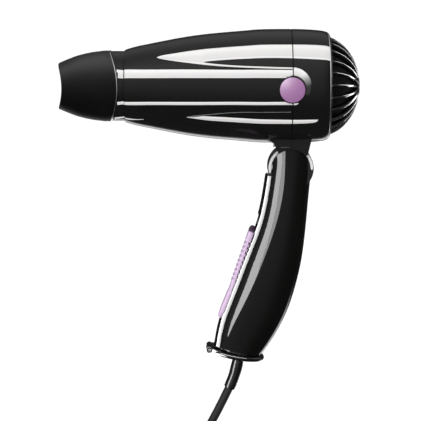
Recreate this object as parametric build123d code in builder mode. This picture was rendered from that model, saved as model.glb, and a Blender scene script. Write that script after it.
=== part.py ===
from build123d import *
import math
import os

# Folding travel hair dryer, millimetres, +Z up. The barrel lies along X with its nozzle towards -X.
# The origin is the middle of the hand grip. Near side is -Y, far side +Y.

os.makedirs("parts", exist_ok=True)

# ---------------------------------------------------------------- driving dimensions
AX = 96.0                 # height of the barrel's axis
PX, PZ = 8.2, 45.5        # fold pivot
WALL = 2.0                # housing wall
DRUM_R = 14.2             # fold drum
DRUM_HALF = 9.0           # half the drum's width
CHEEK_R = 12.1            # handle's hinge cheeks
CHEEK_GAP = 9.3           # inner faces of the cheeks
NECK_HALF = 14.7          # half the neck's width
PIN_R = 2.0               # fold pin
SPIGOT_R = 19.7           # spigot that carries the nozzle
COLLAR_R = 21.6
SCREW_Y = 10.6            # neck screws, either side of the middle
SEAM = 0.3                # chamfer along the housings' seam
NOZZLE_BORE = 19.85
CAP_R = 8.0               # round side caps
DOME_X, DOME_A, DOME_B = 26.7, 24.2, 31.0   # intake dome: centre and semi-axes
RIBS = 24
FAN_BLADES = 7
VANES = 7
CORD_D = 5.4
CORD_R = CORD_D / 2
RING_R, RING_T = 16.5, 1.4                  # hanging ring: centreline radius, half its thickness
PLUG_PIN_R, PLUG_PIN_L, PLUG_PITCH = 2.4, 19.0, 19.0

axis_x = Axis((0, 0, AX), (1, 0, 0))
BARREL = Plane(origin=(0, 0, AX), x_dir=(1, 0, 0), z_dir=(0, -1, 0))   # local x along the barrel, y up from its axis


def across(x, z=AX):
    """Plane across the barrel at x, local x along +Y, local y up."""
    return Plane(origin=(x, 0, z), x_dir=(0, 1, 0), z_dir=(1, 0, 0))


def side(x, y, z):
    """Plane facing +Y at height y above the middle plane."""
    return Plane(origin=(x, y, z), x_dir=(1, 0, 0), z_dir=(0, -1, 0))


def save(part, name):
    part.label = name
    export_step(part, f"parts/{name}.step")


# ================================================================ barrel
# Cutter for the collar's curved shoulder: everything in front of the arc and outside the spigot.
with BuildPart() as shoulder_cut:
    with BuildSketch(BARREL):
        with BuildLine():
            ThreePointArc((-103.4, 23.0), (-97.7, 0), (-103.4, -23.0))
            Polyline((-103.4, -23.0), (-125, -23.0), (-125, 23.0), (-103.4, 23.0))
        make_face()
    extrude(amount=30, both=True)
    with BuildSketch(across(-130)):
        Circle(SPIGOT_R)
    extrude(amount=40, mode=Mode.SUBTRACT)

with BuildPart() as drum_zone:
    with BuildSketch(side(PX, 0, PZ)):
        Circle(DRUM_R)
    extrude(amount=DRUM_HALF + 0.2, both=True)

with BuildPart() as cheek_zone:
    for s in (1, -1):
        with BuildSketch(side(PX, s * (DRUM_HALF + 0.2), PZ)):
            Circle(CHEEK_R + 0.35)
        extrude(amount=-s * 10)

with BuildPart() as neck:
    with BuildSketch(Plane.XZ):
        with BuildLine():
            Polyline((-5.4, 68.5), (-2.63, 61.87), (0.9, 54.0), (18.3, 54.0), (20.0, 61.1), (21.6, 68.5), close=True)
        make_face()
    extrude(amount=NECK_HALF, both=True)
    fillet(neck.edges().filter_by(Axis.Z, reverse=True).filter_by(lambda e: abs(abs(e.center().Y) - NECK_HALF) > 1 and e.center().Z < 67 and abs(e.center().X - 9) > 4), 0.8)
    add(drum_zone.part, mode=Mode.SUBTRACT)
    add(cheek_zone.part, mode=Mode.SUBTRACT)
    with BuildSketch(Plane.XY.offset(50)):
        with Locations((PX, 0)):
            RectangleRounded(9, 12, 2)
    extrude(amount=30, mode=Mode.SUBTRACT)
    for s in (1, -1):
        with BuildSketch(side(PX, s * (NECK_HALF - 0.4), 59)):
            Rectangle(2 * SEAM, 12)
        extrude(amount=-s * 2, mode=Mode.SUBTRACT)

# Bosses behind the side caps, on the seam between the two housings.
with BuildPart() as cap_bosses:
    for s in (1, -1):
        with BuildSketch(side(PX - 0.4, s * 30.5, AX)):
            Circle(9.6)
        extrude(amount=-s * 3.4)
    with BuildSketch(across(-10)):
        Circle(32.4)
    extrude(amount=40, mode=Mode.SUBTRACT)

with BuildPart() as cap_pockets:
    for s in (1, -1):
        with BuildSketch(side(PX - 0.4, s * 33.5, AX)):
            Circle(CAP_R + 0.1)
        extrude(amount=-s * 6)

# Way for the wiring, through the neck into the duct.
with BuildPart() as neck_passage:
    with BuildSketch(Plane.XY.offset(50)):
        with Locations((PX, 0)):
            RectangleRounded(9, 12, 2)
    extrude(amount=20)

# Screw holes through the neck, from behind.
with BuildPart() as neck_screw_holes:
    for s in (1, -1):
        with BuildSketch(across(-3.2, 60.6)):
            with Locations((s * SCREW_Y, 0)):
                Circle(1.42)
        extrude(amount=40)
        with BuildSketch(across(16.6, 60.6)):
            with Locations((s * SCREW_Y, 0)):
                Circle(2.7)
        extrude(amount=20)

with BuildPart() as front_housing:
    with BuildSketch(BARREL):
        with BuildLine():
            Polyline((-118.5, 18.1), (-118.5, SPIGOT_R), (-110, SPIGOT_R), (-110, COLLAR_R), (-94.6, COLLAR_R), (-94.3, 22.3))
            Spline((-94.3, 22.3), (-91.1, 23.4), (-78.7, 26.2), (-58.9, 30.0), (-39.0, 32.6), (-19.2, 34.3), (PX - SEAM, 35.15), tangents=((1, 0.42), (1, 0)))
            Polyline((PX - SEAM, 35.15), (PX, 34.75), (PX, 33.15))
            Spline((PX, 33.15), (-19.2, 32.3), (-39.0, 30.6), (-58.9, 28.0), (-78.7, 24.2), (-91.1, 21.2), (-97.0, 19.2), tangents=((-1, 0), (-1, -0.32)))
            Polyline((-97.0, 19.2), (-101, 18.1), (-118.5, 18.1))
        make_face()
    revolve(axis=axis_x)
    add(shoulder_cut.part, mode=Mode.SUBTRACT)
    add(neck.part)
    add(cap_bosses.part)
    # the duct stays open where the neck joins
    with BuildSketch(BARREL):
        with BuildLine():
            Polyline((PX, 0), (PX, 33.15), (-19.2, 32.3), (-19.2, 0), close=True)
        make_face()
    revolve(axis=axis_x, mode=Mode.SUBTRACT)
    add(cap_bosses.part)
    add(cap_pockets.part, mode=Mode.SUBTRACT)
    add(neck_screw_holes.part, mode=Mode.SUBTRACT)
    add(neck_passage.part, mode=Mode.SUBTRACT)
    split(bisect_by=Plane(origin=(PX, 0, 0), x_dir=(0, 1, 0), z_dir=(1, 0, 0)), keep=Keep.BOTTOM)
save(front_housing.part, "front_housing")

with BuildPart() as rear_housing:
    with BuildSketch(BARREL):
        with BuildLine():
            Spline((PX + SEAM, 35.15), (18.0, 34.9), (26.6, 34.2), tangents=((1, 0), (1, -0.12)))
            Spline((26.6, 34.2), (30.2, 33.3), (31.9, 31.0), tangents=((1, -0.12), (0, -1)))
            Polyline((31.9, 31.0), (31.9, 30.75), (29.4, 30.75), (29.4, 32.0), (PX, 33.15), (PX, 34.75), (PX + SEAM, 35.15))
        make_face()
    revolve(axis=axis_x)
    add(neck.part)
    with BuildSketch(BARREL):
        with BuildLine():
            Polyline((PX, 0), (PX, 33.15), (29.4, 32.0), (29.4, 0), close=True)
        make_face()
    revolve(axis=axis_x, mode=Mode.SUBTRACT)
    add(cap_bosses.part)
    add(cap_pockets.part, mode=Mode.SUBTRACT)
    add(neck_screw_holes.part, mode=Mode.SUBTRACT)
    add(neck_passage.part, mode=Mode.SUBTRACT)
    split(bisect_by=Plane(origin=(PX, 0, 0), x_dir=(0, 1, 0), z_dir=(1, 0, 0)), keep=Keep.TOP)
save(rear_housing.part, "rear_housing")

# Round side caps over the seam, and the screws that join the housings.
for s, name in ((-1, "side_cap_near"), (1, "side_cap_far")):
    with BuildPart() as side_cap:
        with BuildSketch(side(PX - 0.4, s * 33.5, AX)):
            Circle(CAP_R)
        extrude(amount=-s * 2.9)
        fillet(side_cap.edges().filter_by(GeomType.CIRCLE).sort_by(Axis.Y)[-1 if s > 0 else 0], 0.9)
    save(side_cap.part, name)

with BuildPart() as cap_screws:
    for s in (1, -1):
        with BuildSketch(across(-2.8, 60.6)):
            with Locations((s * SCREW_Y, 0)):
                Circle(1.4)
        extrude(amount=19.4)
        with BuildSketch(across(16.6, 60.6)):
            with Locations((s * SCREW_Y, 0)):
                Circle(2.6)
        extrude(amount=1.7)
        with BuildSketch(across(17.3, 60.6)):
            with Locations((s * SCREW_Y, 0)):
                Rectangle(3.6, 0.7)
                Rectangle(0.7, 3.6)
        extrude(amount=2, mode=Mode.SUBTRACT)
save(cap_screws.part, "housing_screws")

# Ribbed intake dome: meridian ribs, nose boss and seating ring.
with BuildPart() as rear_grille:
    for i in range(RIBS):
        a = math.radians(360 / RIBS * i)
        with BuildSketch(Plane(origin=(0, 0, AX), x_dir=(1, 0, 0), z_dir=(0, -math.cos(a), math.sin(a)))):
            with Locations((DOME_X, 0)):
                Ellipse(DOME_A, DOME_B)
                Ellipse(DOME_A - 3.4, DOME_B - 3.4, mode=Mode.SUBTRACT)
            with Locations((DOME_X, -20)):
                Rectangle(80, 47, mode=Mode.SUBTRACT)
            with Locations((0.6, 20)):
                Rectangle(60, 80, mode=Mode.SUBTRACT)
        extrude(amount=0.6, both=True)
    with BuildSketch(BARREL):
        with BuildLine():
            l1 = Line((47.4, 0), (50.9, 0))
            l2 = ThreePointArc((50.9, 0), (50.78, 2.4), (50.55, 4.3))
            Polyline((50.55, 4.3), (47.2, 4.3), (47.4, 0))
        make_face()
    revolve(axis=axis_x)
    with BuildSketch(BARREL):
        with BuildLine():
            Polyline((29.6, 27.2), (29.6, 30.65), (31.9, 30.65), (32.3, 30.0), (32.3, 27.0), (31.0, 27.0), close=True)
        make_face()
    revolve(axis=axis_x)
save(rear_grille.part, "rear_grille")

with BuildPart() as intake_filter:
    with BuildSketch(BARREL):
        with Locations((DOME_X, 0)):
            Ellipse(DOME_A - 4.2, DOME_B - 4.2)
            Ellipse(DOME_A - 4.9, DOME_B - 4.9, mode=Mode.SUBTRACT)
        with Locations((DOME_X, -25)):
            Rectangle(80, 50, mode=Mode.SUBTRACT)
        with Locations((10.4, 0)):
            Rectangle(40, 100, mode=Mode.SUBTRACT)
    revolve(axis=axis_x)
save(intake_filter.part, "intake_filter")

# Fold drum between the handle's cheeks, hollow for the wiring.
with BuildPart() as hinge_drum:
    with BuildSketch(side(PX, 0, PZ)):
        Circle(DRUM_R)
    extrude(amount=DRUM_HALF, both=True)
    with BuildSketch(side(PX, 0, PZ)):
        Circle(DRUM_R - 1.8)
        Circle(PIN_R + 1.8, mode=Mode.SUBTRACT)
    extrude(amount=DRUM_HALF - 1.6, both=True, mode=Mode.SUBTRACT)
    with BuildSketch(side(PX, 0, PZ)):
        Circle(PIN_R + 0.04)
    extrude(amount=DRUM_HALF + 1, both=True, mode=Mode.SUBTRACT)
    with BuildSketch(Plane.XY.offset(PZ + 6)):
        with Locations((PX, 0)):
            Rectangle(8, 10)
    extrude(amount=12, mode=Mode.SUBTRACT)
    with BuildSketch(side(PX, 0, PZ)):
        with BuildLine():
            Polyline((0, -4), (-5, -18), (16, -18), (6, -4), close=True)
        make_face()
    extrude(amount=6.4, both=True, mode=Mode.SUBTRACT)
save(hinge_drum.part, "hinge_drum")

# ---------------------------------------------------------------- air path
with BuildPart() as stator_duct:
    with BuildSketch(across(-8)):
        Circle(32.2)
        Circle(31.0, mode=Mode.SUBTRACT)
    extrude(amount=27.5)
    with BuildSketch(across(-8)):
        Circle(14.2)
        Circle(12.1, mode=Mode.SUBTRACT)
    extrude(amount=26)
    for i in range(VANES):
        a = math.radians(360 / VANES * i + 38.7)
        with BuildSketch(Plane(origin=(-6, 0, AX), x_dir=(0, math.cos(a), math.sin(a)), z_dir=(1, 0, 0))):
            with Locations((22.55, 0)):
                Rectangle(17.4, 1.2)
        extrude(amount=18)
    with BuildSketch(Plane.XY.offset(AX - 34)):
        with Locations((4, 0)):
            Rectangle(13, 7.6)
    extrude(amount=6, mode=Mode.SUBTRACT)
save(stator_duct.part, "stator_duct")

with BuildPart() as motor:
    with BuildSketch(across(-12)):
        Circle(12.0)
    extrude(amount=31)
    fillet(motor.edges().filter_by(GeomType.CIRCLE), 1.0)
    with BuildSketch(across(-14)):
        Circle(3.2)
    extrude(amount=35)
    with BuildSketch(across(-16)):
        Circle(1.05)
    extrude(amount=40, mode=Mode.SUBTRACT)
save(motor.part, "motor")

with BuildPart() as rectifier_board:
    with BuildSketch(across(-16.6)):
        Circle(11.0)
        Circle(3.6, mode=Mode.SUBTRACT)
    extrude(amount=1.2)
    for y in (-6.5, -2.2, 2.2, 6.5):
        with BuildSketch(across(-19.0)):
            with Locations((y, 6.4)):
                Rectangle(2.6, 5.0)
        extrude(amount=2.4)
save(rectifier_board.part, "rectifier_board")

with BuildPart() as motor_shaft:
    with BuildSketch(across(-15)):
        Circle(1.0)
    extrude(amount=45)
save(motor_shaft.part, "motor_shaft")

with BuildPart() as fan_impeller:
    with BuildSketch(BARREL):
        with BuildLine():
            Polyline((21.5, 1.0), (21.5, 9.0), (24.5, 9.6), (27.5, 8.2), (29.2, 5.0), (29.6, 1.0), close=True)
        make_face()
    revolve(axis=axis_x)
    for i in range(FAN_BLADES):
        a = math.radians(360 / FAN_BLADES * i)
        e = (math.cos(a), math.sin(a))
        with BuildSketch(Plane(origin=(25.3, 7.0 * e[0], AX + 7.0 * e[1]), x_dir=(1, 0, 0), z_dir=(0, e[0], e[1]))):
            Rectangle(6.6, 1.3, rotation=32)
        with BuildSketch(Plane(origin=(25.3, 29.0 * e[0], AX + 29.0 * e[1]), x_dir=(1, 0, 0), z_dir=(0, e[0], e[1]))):
            Rectangle(7.6, 1.1, rotation=58)
        loft()
save(fan_impeller.part, "fan_impeller")

with BuildPart() as mica_sleeve:
    with BuildSketch(BARREL):
        with BuildLine():
            Polyline((-92, 19.9), (-92, 20.4), (-24, 29.2), (-24, 28.7), close=True)
        make_face()
    revolve(axis=axis_x)
save(mica_sleeve.part, "mica_sleeve")

with BuildPart() as heater_boards:
    for z_dir, x_dir in (((0, -1, 0), (1, 0, 0)), ((0, 0, 1), (1, 0, 0))):
        with BuildSketch(Plane(origin=(0, 0, AX), x_dir=x_dir, z_dir=z_dir)):
            with BuildLine():
                Polyline((-91, -16.0), (-22, -24.0), (-22, 24.0), (-91, 16.0), close=True)
            make_face()
        extrude(amount=0.4, both=True)
save(heater_boards.part, "heater_boards")

with BuildPart() as heater_coil:
    for i in range(9):
        x = -84 + 6.2 * i
        r = 16.0 + (x + 91) * 8.0 / 69 + 0.75
        with BuildSketch(Plane(origin=(x, 0, AX + r), x_dir=(1, 0, 0), z_dir=(0, 1, 0))):
            Circle(0.6)
        revolve(axis=Axis((x, 0, AX), (1, 0, 0)))
save(heater_coil.part, "heater_coil")

with BuildPart() as thermostat:
    with BuildSketch(Plane.XZ.offset(0.5)):
        with Locations((-30, AX + 12)):
            RectangleRounded(12, 7, 1)
    extrude(amount=3.2)
    with BuildSketch(Plane.XZ.offset(3.7)):
        with Locations((-30, AX + 12)):
            Circle(2.4)
    extrude(amount=1.4)
save(thermostat.part, "thermostat")

with BuildPart() as thermal_fuse:
    with BuildSketch(Plane(origin=(-60, -2.6, AX + 9), x_dir=(0, 1, 0), z_dir=(1, 0, 0))):
        Circle(1.9)
    extrude(amount=11)
    with BuildSketch(Plane(origin=(-66, -2.6, AX + 9), x_dir=(0, 1, 0), z_dir=(1, 0, 0))):
        Circle(0.5)
    extrude(amount=23)
save(thermal_fuse.part, "thermal_fuse")

with BuildPart() as outlet_guard:
    with BuildSketch(across(-115.5)):
        Circle(18.0)
        Circle(16.4, mode=Mode.SUBTRACT)
        Circle(11.2)
        Circle(10.2, mode=Mode.SUBTRACT)
        Circle(5.0)
        Circle(4.0, mode=Mode.SUBTRACT)
        for i in range(8):
            with Locations(Rotation(0, 0, 45 * i) * Pos(10.6, 0, 0)):
                Rectangle(12.6, 0.9)
    extrude(amount=2.5)
save(outlet_guard.part, "outlet_guard")

with BuildPart() as barrel_wiring:
    for y in (-1.6, 1.6):
        with BuildLine():
            FilletPolyline((PX - 1.2, y, 54.5), (PX - 1.2, y, 66.9), (-20.4, y, 71.2), radius=4)
        with BuildSketch(Plane(origin=(PX - 1.2, y, 54.5), x_dir=(1, 0, 0), z_dir=(0, 0, 1))):
            Circle(1.0)
        sweep()
save(barrel_wiring.part, "barrel_wiring")

# ================================================================ nozzle
with BuildPart() as nozzle:
    for x, z, y in ((-137.6, 13.1, 18.6), (-130.0, 16.5, 19.6), (-122.4, 19.2, 20.7), (-112.0, 21.3, 21.7), (-104.0, 22.0, 22.0), (-96.0, 21.9, 21.9)):
        with BuildSketch(across(x)):
            Ellipse(y, z)
    loft()
    for x, z, y in ((-137.7, 11.5, 17.0), (-130.0, 14.9, 18.0), (-122.4, 17.5, 18.9), (-118.7, 18.5, 19.2)):
        with BuildSketch(across(x)):
            Ellipse(y, z)
    loft(mode=Mode.SUBTRACT)
    with BuildSketch(across(-118.75)):
        Circle(NOZZLE_BORE)
    extrude(amount=30, mode=Mode.SUBTRACT)
    with BuildSketch(BARREL):
        with BuildLine():
            ThreePointArc((-136.4, 16.0), (-132.5, 0), (-136.4, -16.0))
            Polyline((-136.4, -16.0), (-145, -30), (-145, 30), (-136.4, 16.0))
        make_face()
    extrude(amount=40, both=True, mode=Mode.SUBTRACT)
    with BuildSketch(BARREL):
        with BuildLine():
            ThreePointArc((-103.65, 23.0), (-97.95, 0), (-103.65, -23.0))
            Polyline((-103.65, -23.0), (-90, -30), (-90, 30), (-103.65, 23.0))
        make_face()
    extrude(amount=40, both=True, mode=Mode.SUBTRACT)
save(nozzle.part, "nozzle")

# ================================================================ handle
# Stations down the handle: middle of the section (x, z), depth, slope in degrees, half-width.
STATIONS = [
    (7.05, 58.0, 28.1, 0.0, 14.6),
    (7.05, 44.0, 28.2, 0.0, 14.6),
    (6.02, 34.61, 28.51, -4.0, 14.7),
    (4.45, 22.03, 29.48, -6.5, 15.0),
    (1.67, 5.64, 32.19, -9.5, 15.4),
    (-2.76, -12.41, 36.14, -12.5, 15.7),
    (-7.24, -27.19, 37.96, -14.0, 15.8),
    (-12.26, -41.26, 38.54, -14.0, 15.7),
    (-16.41, -51.15, 37.75, -13.0, 15.5),
    (-20.26, -60.36, 35.25, -12.0, 15.2),
    (-24.08, -69.56, 30.95, -10.84, 14.9),
]
POWER = 2.35


def station(k):
    x, z, depth, slope, half = STATIONS[k]
    c, s = math.cos(math.radians(slope)), math.sin(math.radians(slope))
    return Plane(origin=(x, 0, z), x_dir=(c, 0, s), z_dir=(s, 0, -c)), depth / 2, half


def oval(a, b):
    """Points of a superellipse, starting at the rear."""
    out = []
    for i in range(20):
        t = 2 * math.pi * i / 20
        c, s = math.cos(t), math.sin(t)
        out.append((a * math.copysign(abs(c) ** (2 / POWER), c), b * math.copysign(abs(s) ** (2 / POWER), s)))
    return out


with BuildPart() as grip_solid:
    for k in range(len(STATIONS)):
        plane, a, b = station(k)
        with BuildSketch(plane):
            with BuildLine():
                Spline(*oval(a, b), periodic=True)
            make_face()
    loft()

with BuildPart() as grip_hollow:
    for k in range(2, len(STATIONS)):
        plane, a, b = station(k)
        with BuildSketch(plane):
            with BuildLine():
                Spline(*oval(a - WALL, b - WALL), periodic=True)
            make_face()
    loft()

# Slide switch directions: U runs down the switch, OUT leaves the handle's front.
UX, UZ = -0.3255, -0.9455
SWX, SWZ = -17.35, 6.31               # top of the switch's straight outer line
SLIDER_HALF = 6.5
track = Plane(origin=(SWX, 0, SWZ), x_dir=(UX, 0, UZ), z_dir=(UZ, 0, -UX))   # local x down the switch, local z out of the handle

with BuildPart() as track_pad:
    with BuildSketch(track.offset(-6.4)):
        with Locations((23.5, 0)):
            Rectangle(80, 2 * SLIDER_HALF + 5)
    extrude(amount=8.0)
    add(grip_solid.part, mode=Mode.INTERSECT)

# Screw bosses across the handle: (x, z) on the axis, (start, length) along it.
BOSS_DIR = Vector(1, 0, -0.25).normalized()
BOSSES = [(-4.0, 27.3), (-23.5, -51.6)]


def boss_plane(x, z, along):
    return Plane(origin=Vector(x, 0, z) + BOSS_DIR * along, x_dir=(0, 1, 0), z_dir=BOSS_DIR)


with BuildPart() as grip_bosses:
    for x, z in BOSSES:
        with BuildSketch(boss_plane(x, z, -16)):
            Circle(3.3)
        extrude(amount=44)
    add(grip_solid.part, mode=Mode.INTERSECT)

with BuildPart() as grip_shell:
    add(grip_solid.part)
    add(grip_hollow.part, mode=Mode.SUBTRACT)
    add(track_pad.part)
    add(grip_bosses.part)
    for x, z in BOSSES:
        with BuildSketch(boss_plane(x, z, 0)):
            Circle(1.4)
        extrude(amount=30, mode=Mode.SUBTRACT)
        with BuildSketch(boss_plane(x, z, 17.0)):
            Circle(2.7)
        extrude(amount=30, mode=Mode.SUBTRACT)
    # round tops of the cheeks, room for the drum, and the two walls' top edges
    with BuildSketch(side(PX, 0, PZ)):
        with Locations((0, 7.5)):
            Rectangle(60, 24)
        Circle(CHEEK_R, mode=Mode.SUBTRACT)
        with Locations((8, -6)):
            Rectangle(9, 9.2, mode=Mode.SUBTRACT)
    extrude(amount=25, both=True, mode=Mode.SUBTRACT)
    with BuildSketch(side(PX, 0, PZ)):
        Circle(DRUM_R + 0.35)
        with Locations((0, 20)):
            Rectangle(2 * DRUM_R + 0.7, 40)
    extrude(amount=CHEEK_GAP, both=True, mode=Mode.SUBTRACT)
    with BuildSketch(side(PX, 0, PZ)):
        Circle(PIN_R)
    extrude(amount=12.5, both=True, mode=Mode.SUBTRACT)
    # switch track and the slot for its stem
    with BuildSketch(track.offset(-4.1)):
        with Locations((24.5, 0)):
            Rectangle(71.5, 2 * SLIDER_HALF + 0.6)
    extrude(amount=12, mode=Mode.SUBTRACT)
    with BuildSketch(track.offset(-12)):
        with Locations((20.5, 0)):
            Rectangle(19, 4.2)
    extrude(amount=12, mode=Mode.SUBTRACT)
    with BuildSketch(track.offset(-14)):
        with Locations((20.5, 0)):
            Rectangle(40, 13.5)
    extrude(amount=7.8, mode=Mode.SUBTRACT)

# Parting surface between the handle's front and rear shells.
with BuildPart() as front_region:
    with BuildSketch(Plane.XZ):
        with BuildLine():
            Spline((4.6, 60.0), (4.5, 52.0), (3.9, 37.3), (2.0, 24.0), (-1.8, 8.9), (-7.0, -6.4), (-12.2, -19.8), (-20.8, -39.0), (-28.3, -54.4), (-34.5, -78.0))
            Polyline((-34.5, -78.0), (-70, -78), (-70, 60), (4.6, 60.0))
        make_face()
    extrude(amount=30, both=True)

with BuildPart() as handle_front_shell:
    add(grip_shell.part)
    add(front_region.part, mode=Mode.INTERSECT)
save(handle_front_shell.part, "handle_front_shell")

with BuildPart() as handle_rear_shell:
    add(grip_shell.part)
    add(front_region.part, mode=Mode.SUBTRACT)
save(handle_rear_shell.part, "handle_rear_shell")

with BuildPart() as hinge_pin:
    with BuildSketch(side(PX, 0, PZ)):
        Circle(PIN_R - 0.01)
    extrude(amount=12.4, both=True)
save(hinge_pin.part, "hinge_pin")

# ---------------------------------------------------------------- slide switch
with BuildPart() as switch_slider:
    with BuildSketch(track.offset(-3.7)):
        with Locations((28.2, 0)):
            SlotOverall(62.4, 2 * SLIDER_HALF)
    extrude(amount=3.7)
    fillet(switch_slider.faces().sort_by(Axis((0, 0, 0), (UZ, 0, -UX)))[-1].edges(), 1.0)
    # thumb ribs on the upper half
    for i in range(9):
        with BuildSketch(track.offset(-0.45)):
            with Locations((7.5 + 3.05 * i, 0)):
                Rectangle(1.1, 14)
        extrude(amount=1.0, mode=Mode.SUBTRACT)
    with BuildSketch(track.offset(-8.0)):
        with Locations((24.2, 0)):
            Rectangle(8, 3.4)
    extrude(amount=4.6)
save(switch_slider.part, "switch_slider")

with BuildPart() as switch_carriage:
    with BuildSketch(track.offset(-10.4)):
        with Locations((24.2, 0)):
            RectangleRounded(16, 10, 1.5)
    extrude(amount=2.4)
    with BuildSketch(track.offset(-12.2)):
        with Locations((24.2, 0)):
            Rectangle(4, 4)
    extrude(amount=1.8)
save(switch_carriage.part, "switch_carriage")

with BuildPart() as switch_body:
    with BuildSketch(track.offset(-24.0)):
        with Locations((20.2, 0)):
            RectangleRounded(30, 13, 1)
    extrude(amount=13.2)
    with BuildSketch(track.offset(-12.6)):
        with Locations((20.2, 0)):
            Rectangle(16, 4.8)
    extrude(amount=3, mode=Mode.SUBTRACT)
save(switch_body.part, "switch_body")

with BuildPart() as switch_contacts:
    for t in (9, 16.5, 24, 31.5):
        with BuildSketch(track.offset(-29.0)):
            with Locations((t, 0)):
                Rectangle(1.0, 4.6)
        extrude(amount=5.0)
save(switch_contacts.part, "switch_contacts")

with BuildPart() as handle_wiring:
    for y in (-1, 1):
        with BuildLine():
            FilletPolyline((8.8, y * 4.6, 31.0), (6.0, y * 5.4, 15.5), (3.2, y * 9.2, 0.5), (-3.0, y * 9.4, -18.0), (-10.0, y * 7.6, -36.0), (-18.2, y * 4.6, -57.5), radius=7)
        with BuildSketch(Plane(origin=(8.8, y * 4.6, 31.0), x_dir=(0, 1, 0), z_dir=(-2.8, y * 0.8, -15.5))):
            Circle(0.9)
        sweep()
save(handle_wiring.part, "handle_wiring")

# Screws that hold the rear shell to the front shell.
with BuildPart() as handle_screws:
    for x, z in BOSSES:
        with BuildSketch(boss_plane(x, z, 0.4)):
            Circle(1.38)
        extrude(amount=17)
        with BuildSketch(boss_plane(x, z, 17.0)):
            Circle(2.6)
        extrude(amount=1.7)
        with BuildSketch(boss_plane(x, z, 17.7)):
            Rectangle(3.6, 0.7)
            Rectangle(0.7, 3.6)
        extrude(amount=2, mode=Mode.SUBTRACT)
save(handle_screws.part, "handle_screws")

# ---------------------------------------------------------------- end of the handle
END = Plane(origin=(-24.08, 0, -69.56), x_dir=(0.9823, 0, -0.1878), z_dir=(-0.1878, 0, -0.9823))   # local z points out of the end
KNUCKLE = (-17.9, 3.1)      # ring's axle in END: local x, depth below the end plane

with BuildPart() as end_cap:
    with BuildSketch(END):
        Circle(13.8)
    extrude(amount=4.4)
    with BuildSketch(END):
        Circle(12.2)
    extrude(amount=-6.0)
    # the lug between the ring's knuckles
    with BuildSketch(Plane(origin=END.origin, x_dir=END.x_dir, z_dir=(0, 1, 0))):
        with BuildLine():
            Polyline((-11.0, 0.3), (-11.0, 4.1), (KNUCKLE[0] + 1.0, KNUCKLE[1] + 1.9), (KNUCKLE[0] - 1.0, KNUCKLE[1] + 1.9),
                     (KNUCKLE[0] - 1.9, KNUCKLE[1] + 1.0), (KNUCKLE[0] - 1.9, KNUCKLE[1] - 1.0), (KNUCKLE[0] - 1.0, KNUCKLE[1] - 1.9), (-14.6, 0.3), close=True)
        make_face()
    extrude(amount=4.7, both=True)
    with BuildSketch(END.offset(-8)):
        with Locations((1.7, 0)):
            Circle(3.3)
    extrude(amount=16, mode=Mode.SUBTRACT)
    with BuildSketch(Plane(origin=END.from_local_coords((KNUCKLE[0], 0, KNUCKLE[1])), x_dir=END.x_dir, z_dir=(0, 1, 0))):
        Circle(0.81)
    extrude(amount=9, both=True, mode=Mode.SUBTRACT)
save(end_cap.part, "end_cap")

with BuildPart() as cord_clamp:
    with BuildSketch(END.offset(-9.4)):
        with Locations((1.7, 0)):
            RectangleRounded(9, 16, 1.5)
            Circle(2.9, mode=Mode.SUBTRACT)
    extrude(amount=3.2)
save(cord_clamp.part, "cord_clamp")

ring_plane = END.offset(KNUCKLE[1])
with BuildPart() as hang_ring:
    with BuildSketch(ring_plane):
        with Locations((KNUCKLE[0] + 17.1, 0)):
            Circle(RING_R + RING_T)
            Circle(RING_R - RING_T, mode=Mode.SUBTRACT)
    extrude(amount=RING_T - 0.1, both=True)
    chamfer(hang_ring.edges().filter_by(GeomType.CIRCLE), 0.45)
    # the ring is open at the lug; a knuckle each side turns on the pin
    with BuildSketch(ring_plane.offset(-5)):
        with Locations((KNUCKLE[0], 0)):
            Rectangle(9.0, 10.0)
    extrude(amount=10, mode=Mode.SUBTRACT)
    for y in (-1, 1):
        with BuildSketch(Plane(origin=END.from_local_coords((KNUCKLE[0], -y * 5.0, KNUCKLE[1])), x_dir=END.x_dir, z_dir=(0, 1, 0))):
            Circle(2.0)
        extrude(amount=y * 3.4)
    with BuildSketch(Plane(origin=END.from_local_coords((KNUCKLE[0], 0, KNUCKLE[1])), x_dir=END.x_dir, z_dir=(0, 1, 0))):
        Circle(0.85)
    extrude(amount=9, both=True, mode=Mode.SUBTRACT)
save(hang_ring.part, "hang_ring")

with BuildPart() as ring_pin:
    with BuildSketch(Plane(origin=END.from_local_coords((KNUCKLE[0], 0, KNUCKLE[1])), x_dir=END.x_dir, z_dir=(0, 1, 0))):
        Circle(0.8)
    extrude(amount=7.6, both=True)
save(ring_pin.part, "ring_pin")

# ================================================================ cord
# Tapered strain relief: circles down a gentle curve.
RELIEF = [(-22.35, -68.0, 10.8, 3.2), (-23.9, -76.2, 10.8, 3.25), (-24.7, -80.4, 12.0, 3.7), (-26.1, -86.0, 17.0, 3.65), (-27.8, -91.0, 22.0, 3.6), (-29.6, -95.3, 25.5, 3.5)]
with BuildPart() as strain_relief:
    for x, z, lean, r in RELIEF:
        s, c = math.sin(math.radians(lean)), math.cos(math.radians(lean))
        with BuildSketch(Plane(origin=(x, 0, z), x_dir=(c, 0, -s), z_dir=(-s, 0, -c))):
            Circle(r)
    loft()
save(strain_relief.part, "strain_relief")


def tube(points, radii, name, radius):
    """A round cord down straight runs joined by tangent arcs."""
    with BuildPart() as cord:
        with BuildLine() as route:
            FilletPolyline(*points, radius=radii)
        d = Vector(*points[1]) - Vector(*points[0])
        with BuildSketch(Plane(origin=points[0], x_dir=(0, 1, 0), z_dir=d.normalized())):
            Circle(radius)
        sweep()
    length = sum(e.length for e in route.edges())
    print(name, "length", round(length, 2), "volume ratio", round(cord.part.volume / (math.pi * radius * radius * length), 4))
    save(cord.part, name)
    return length


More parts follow.
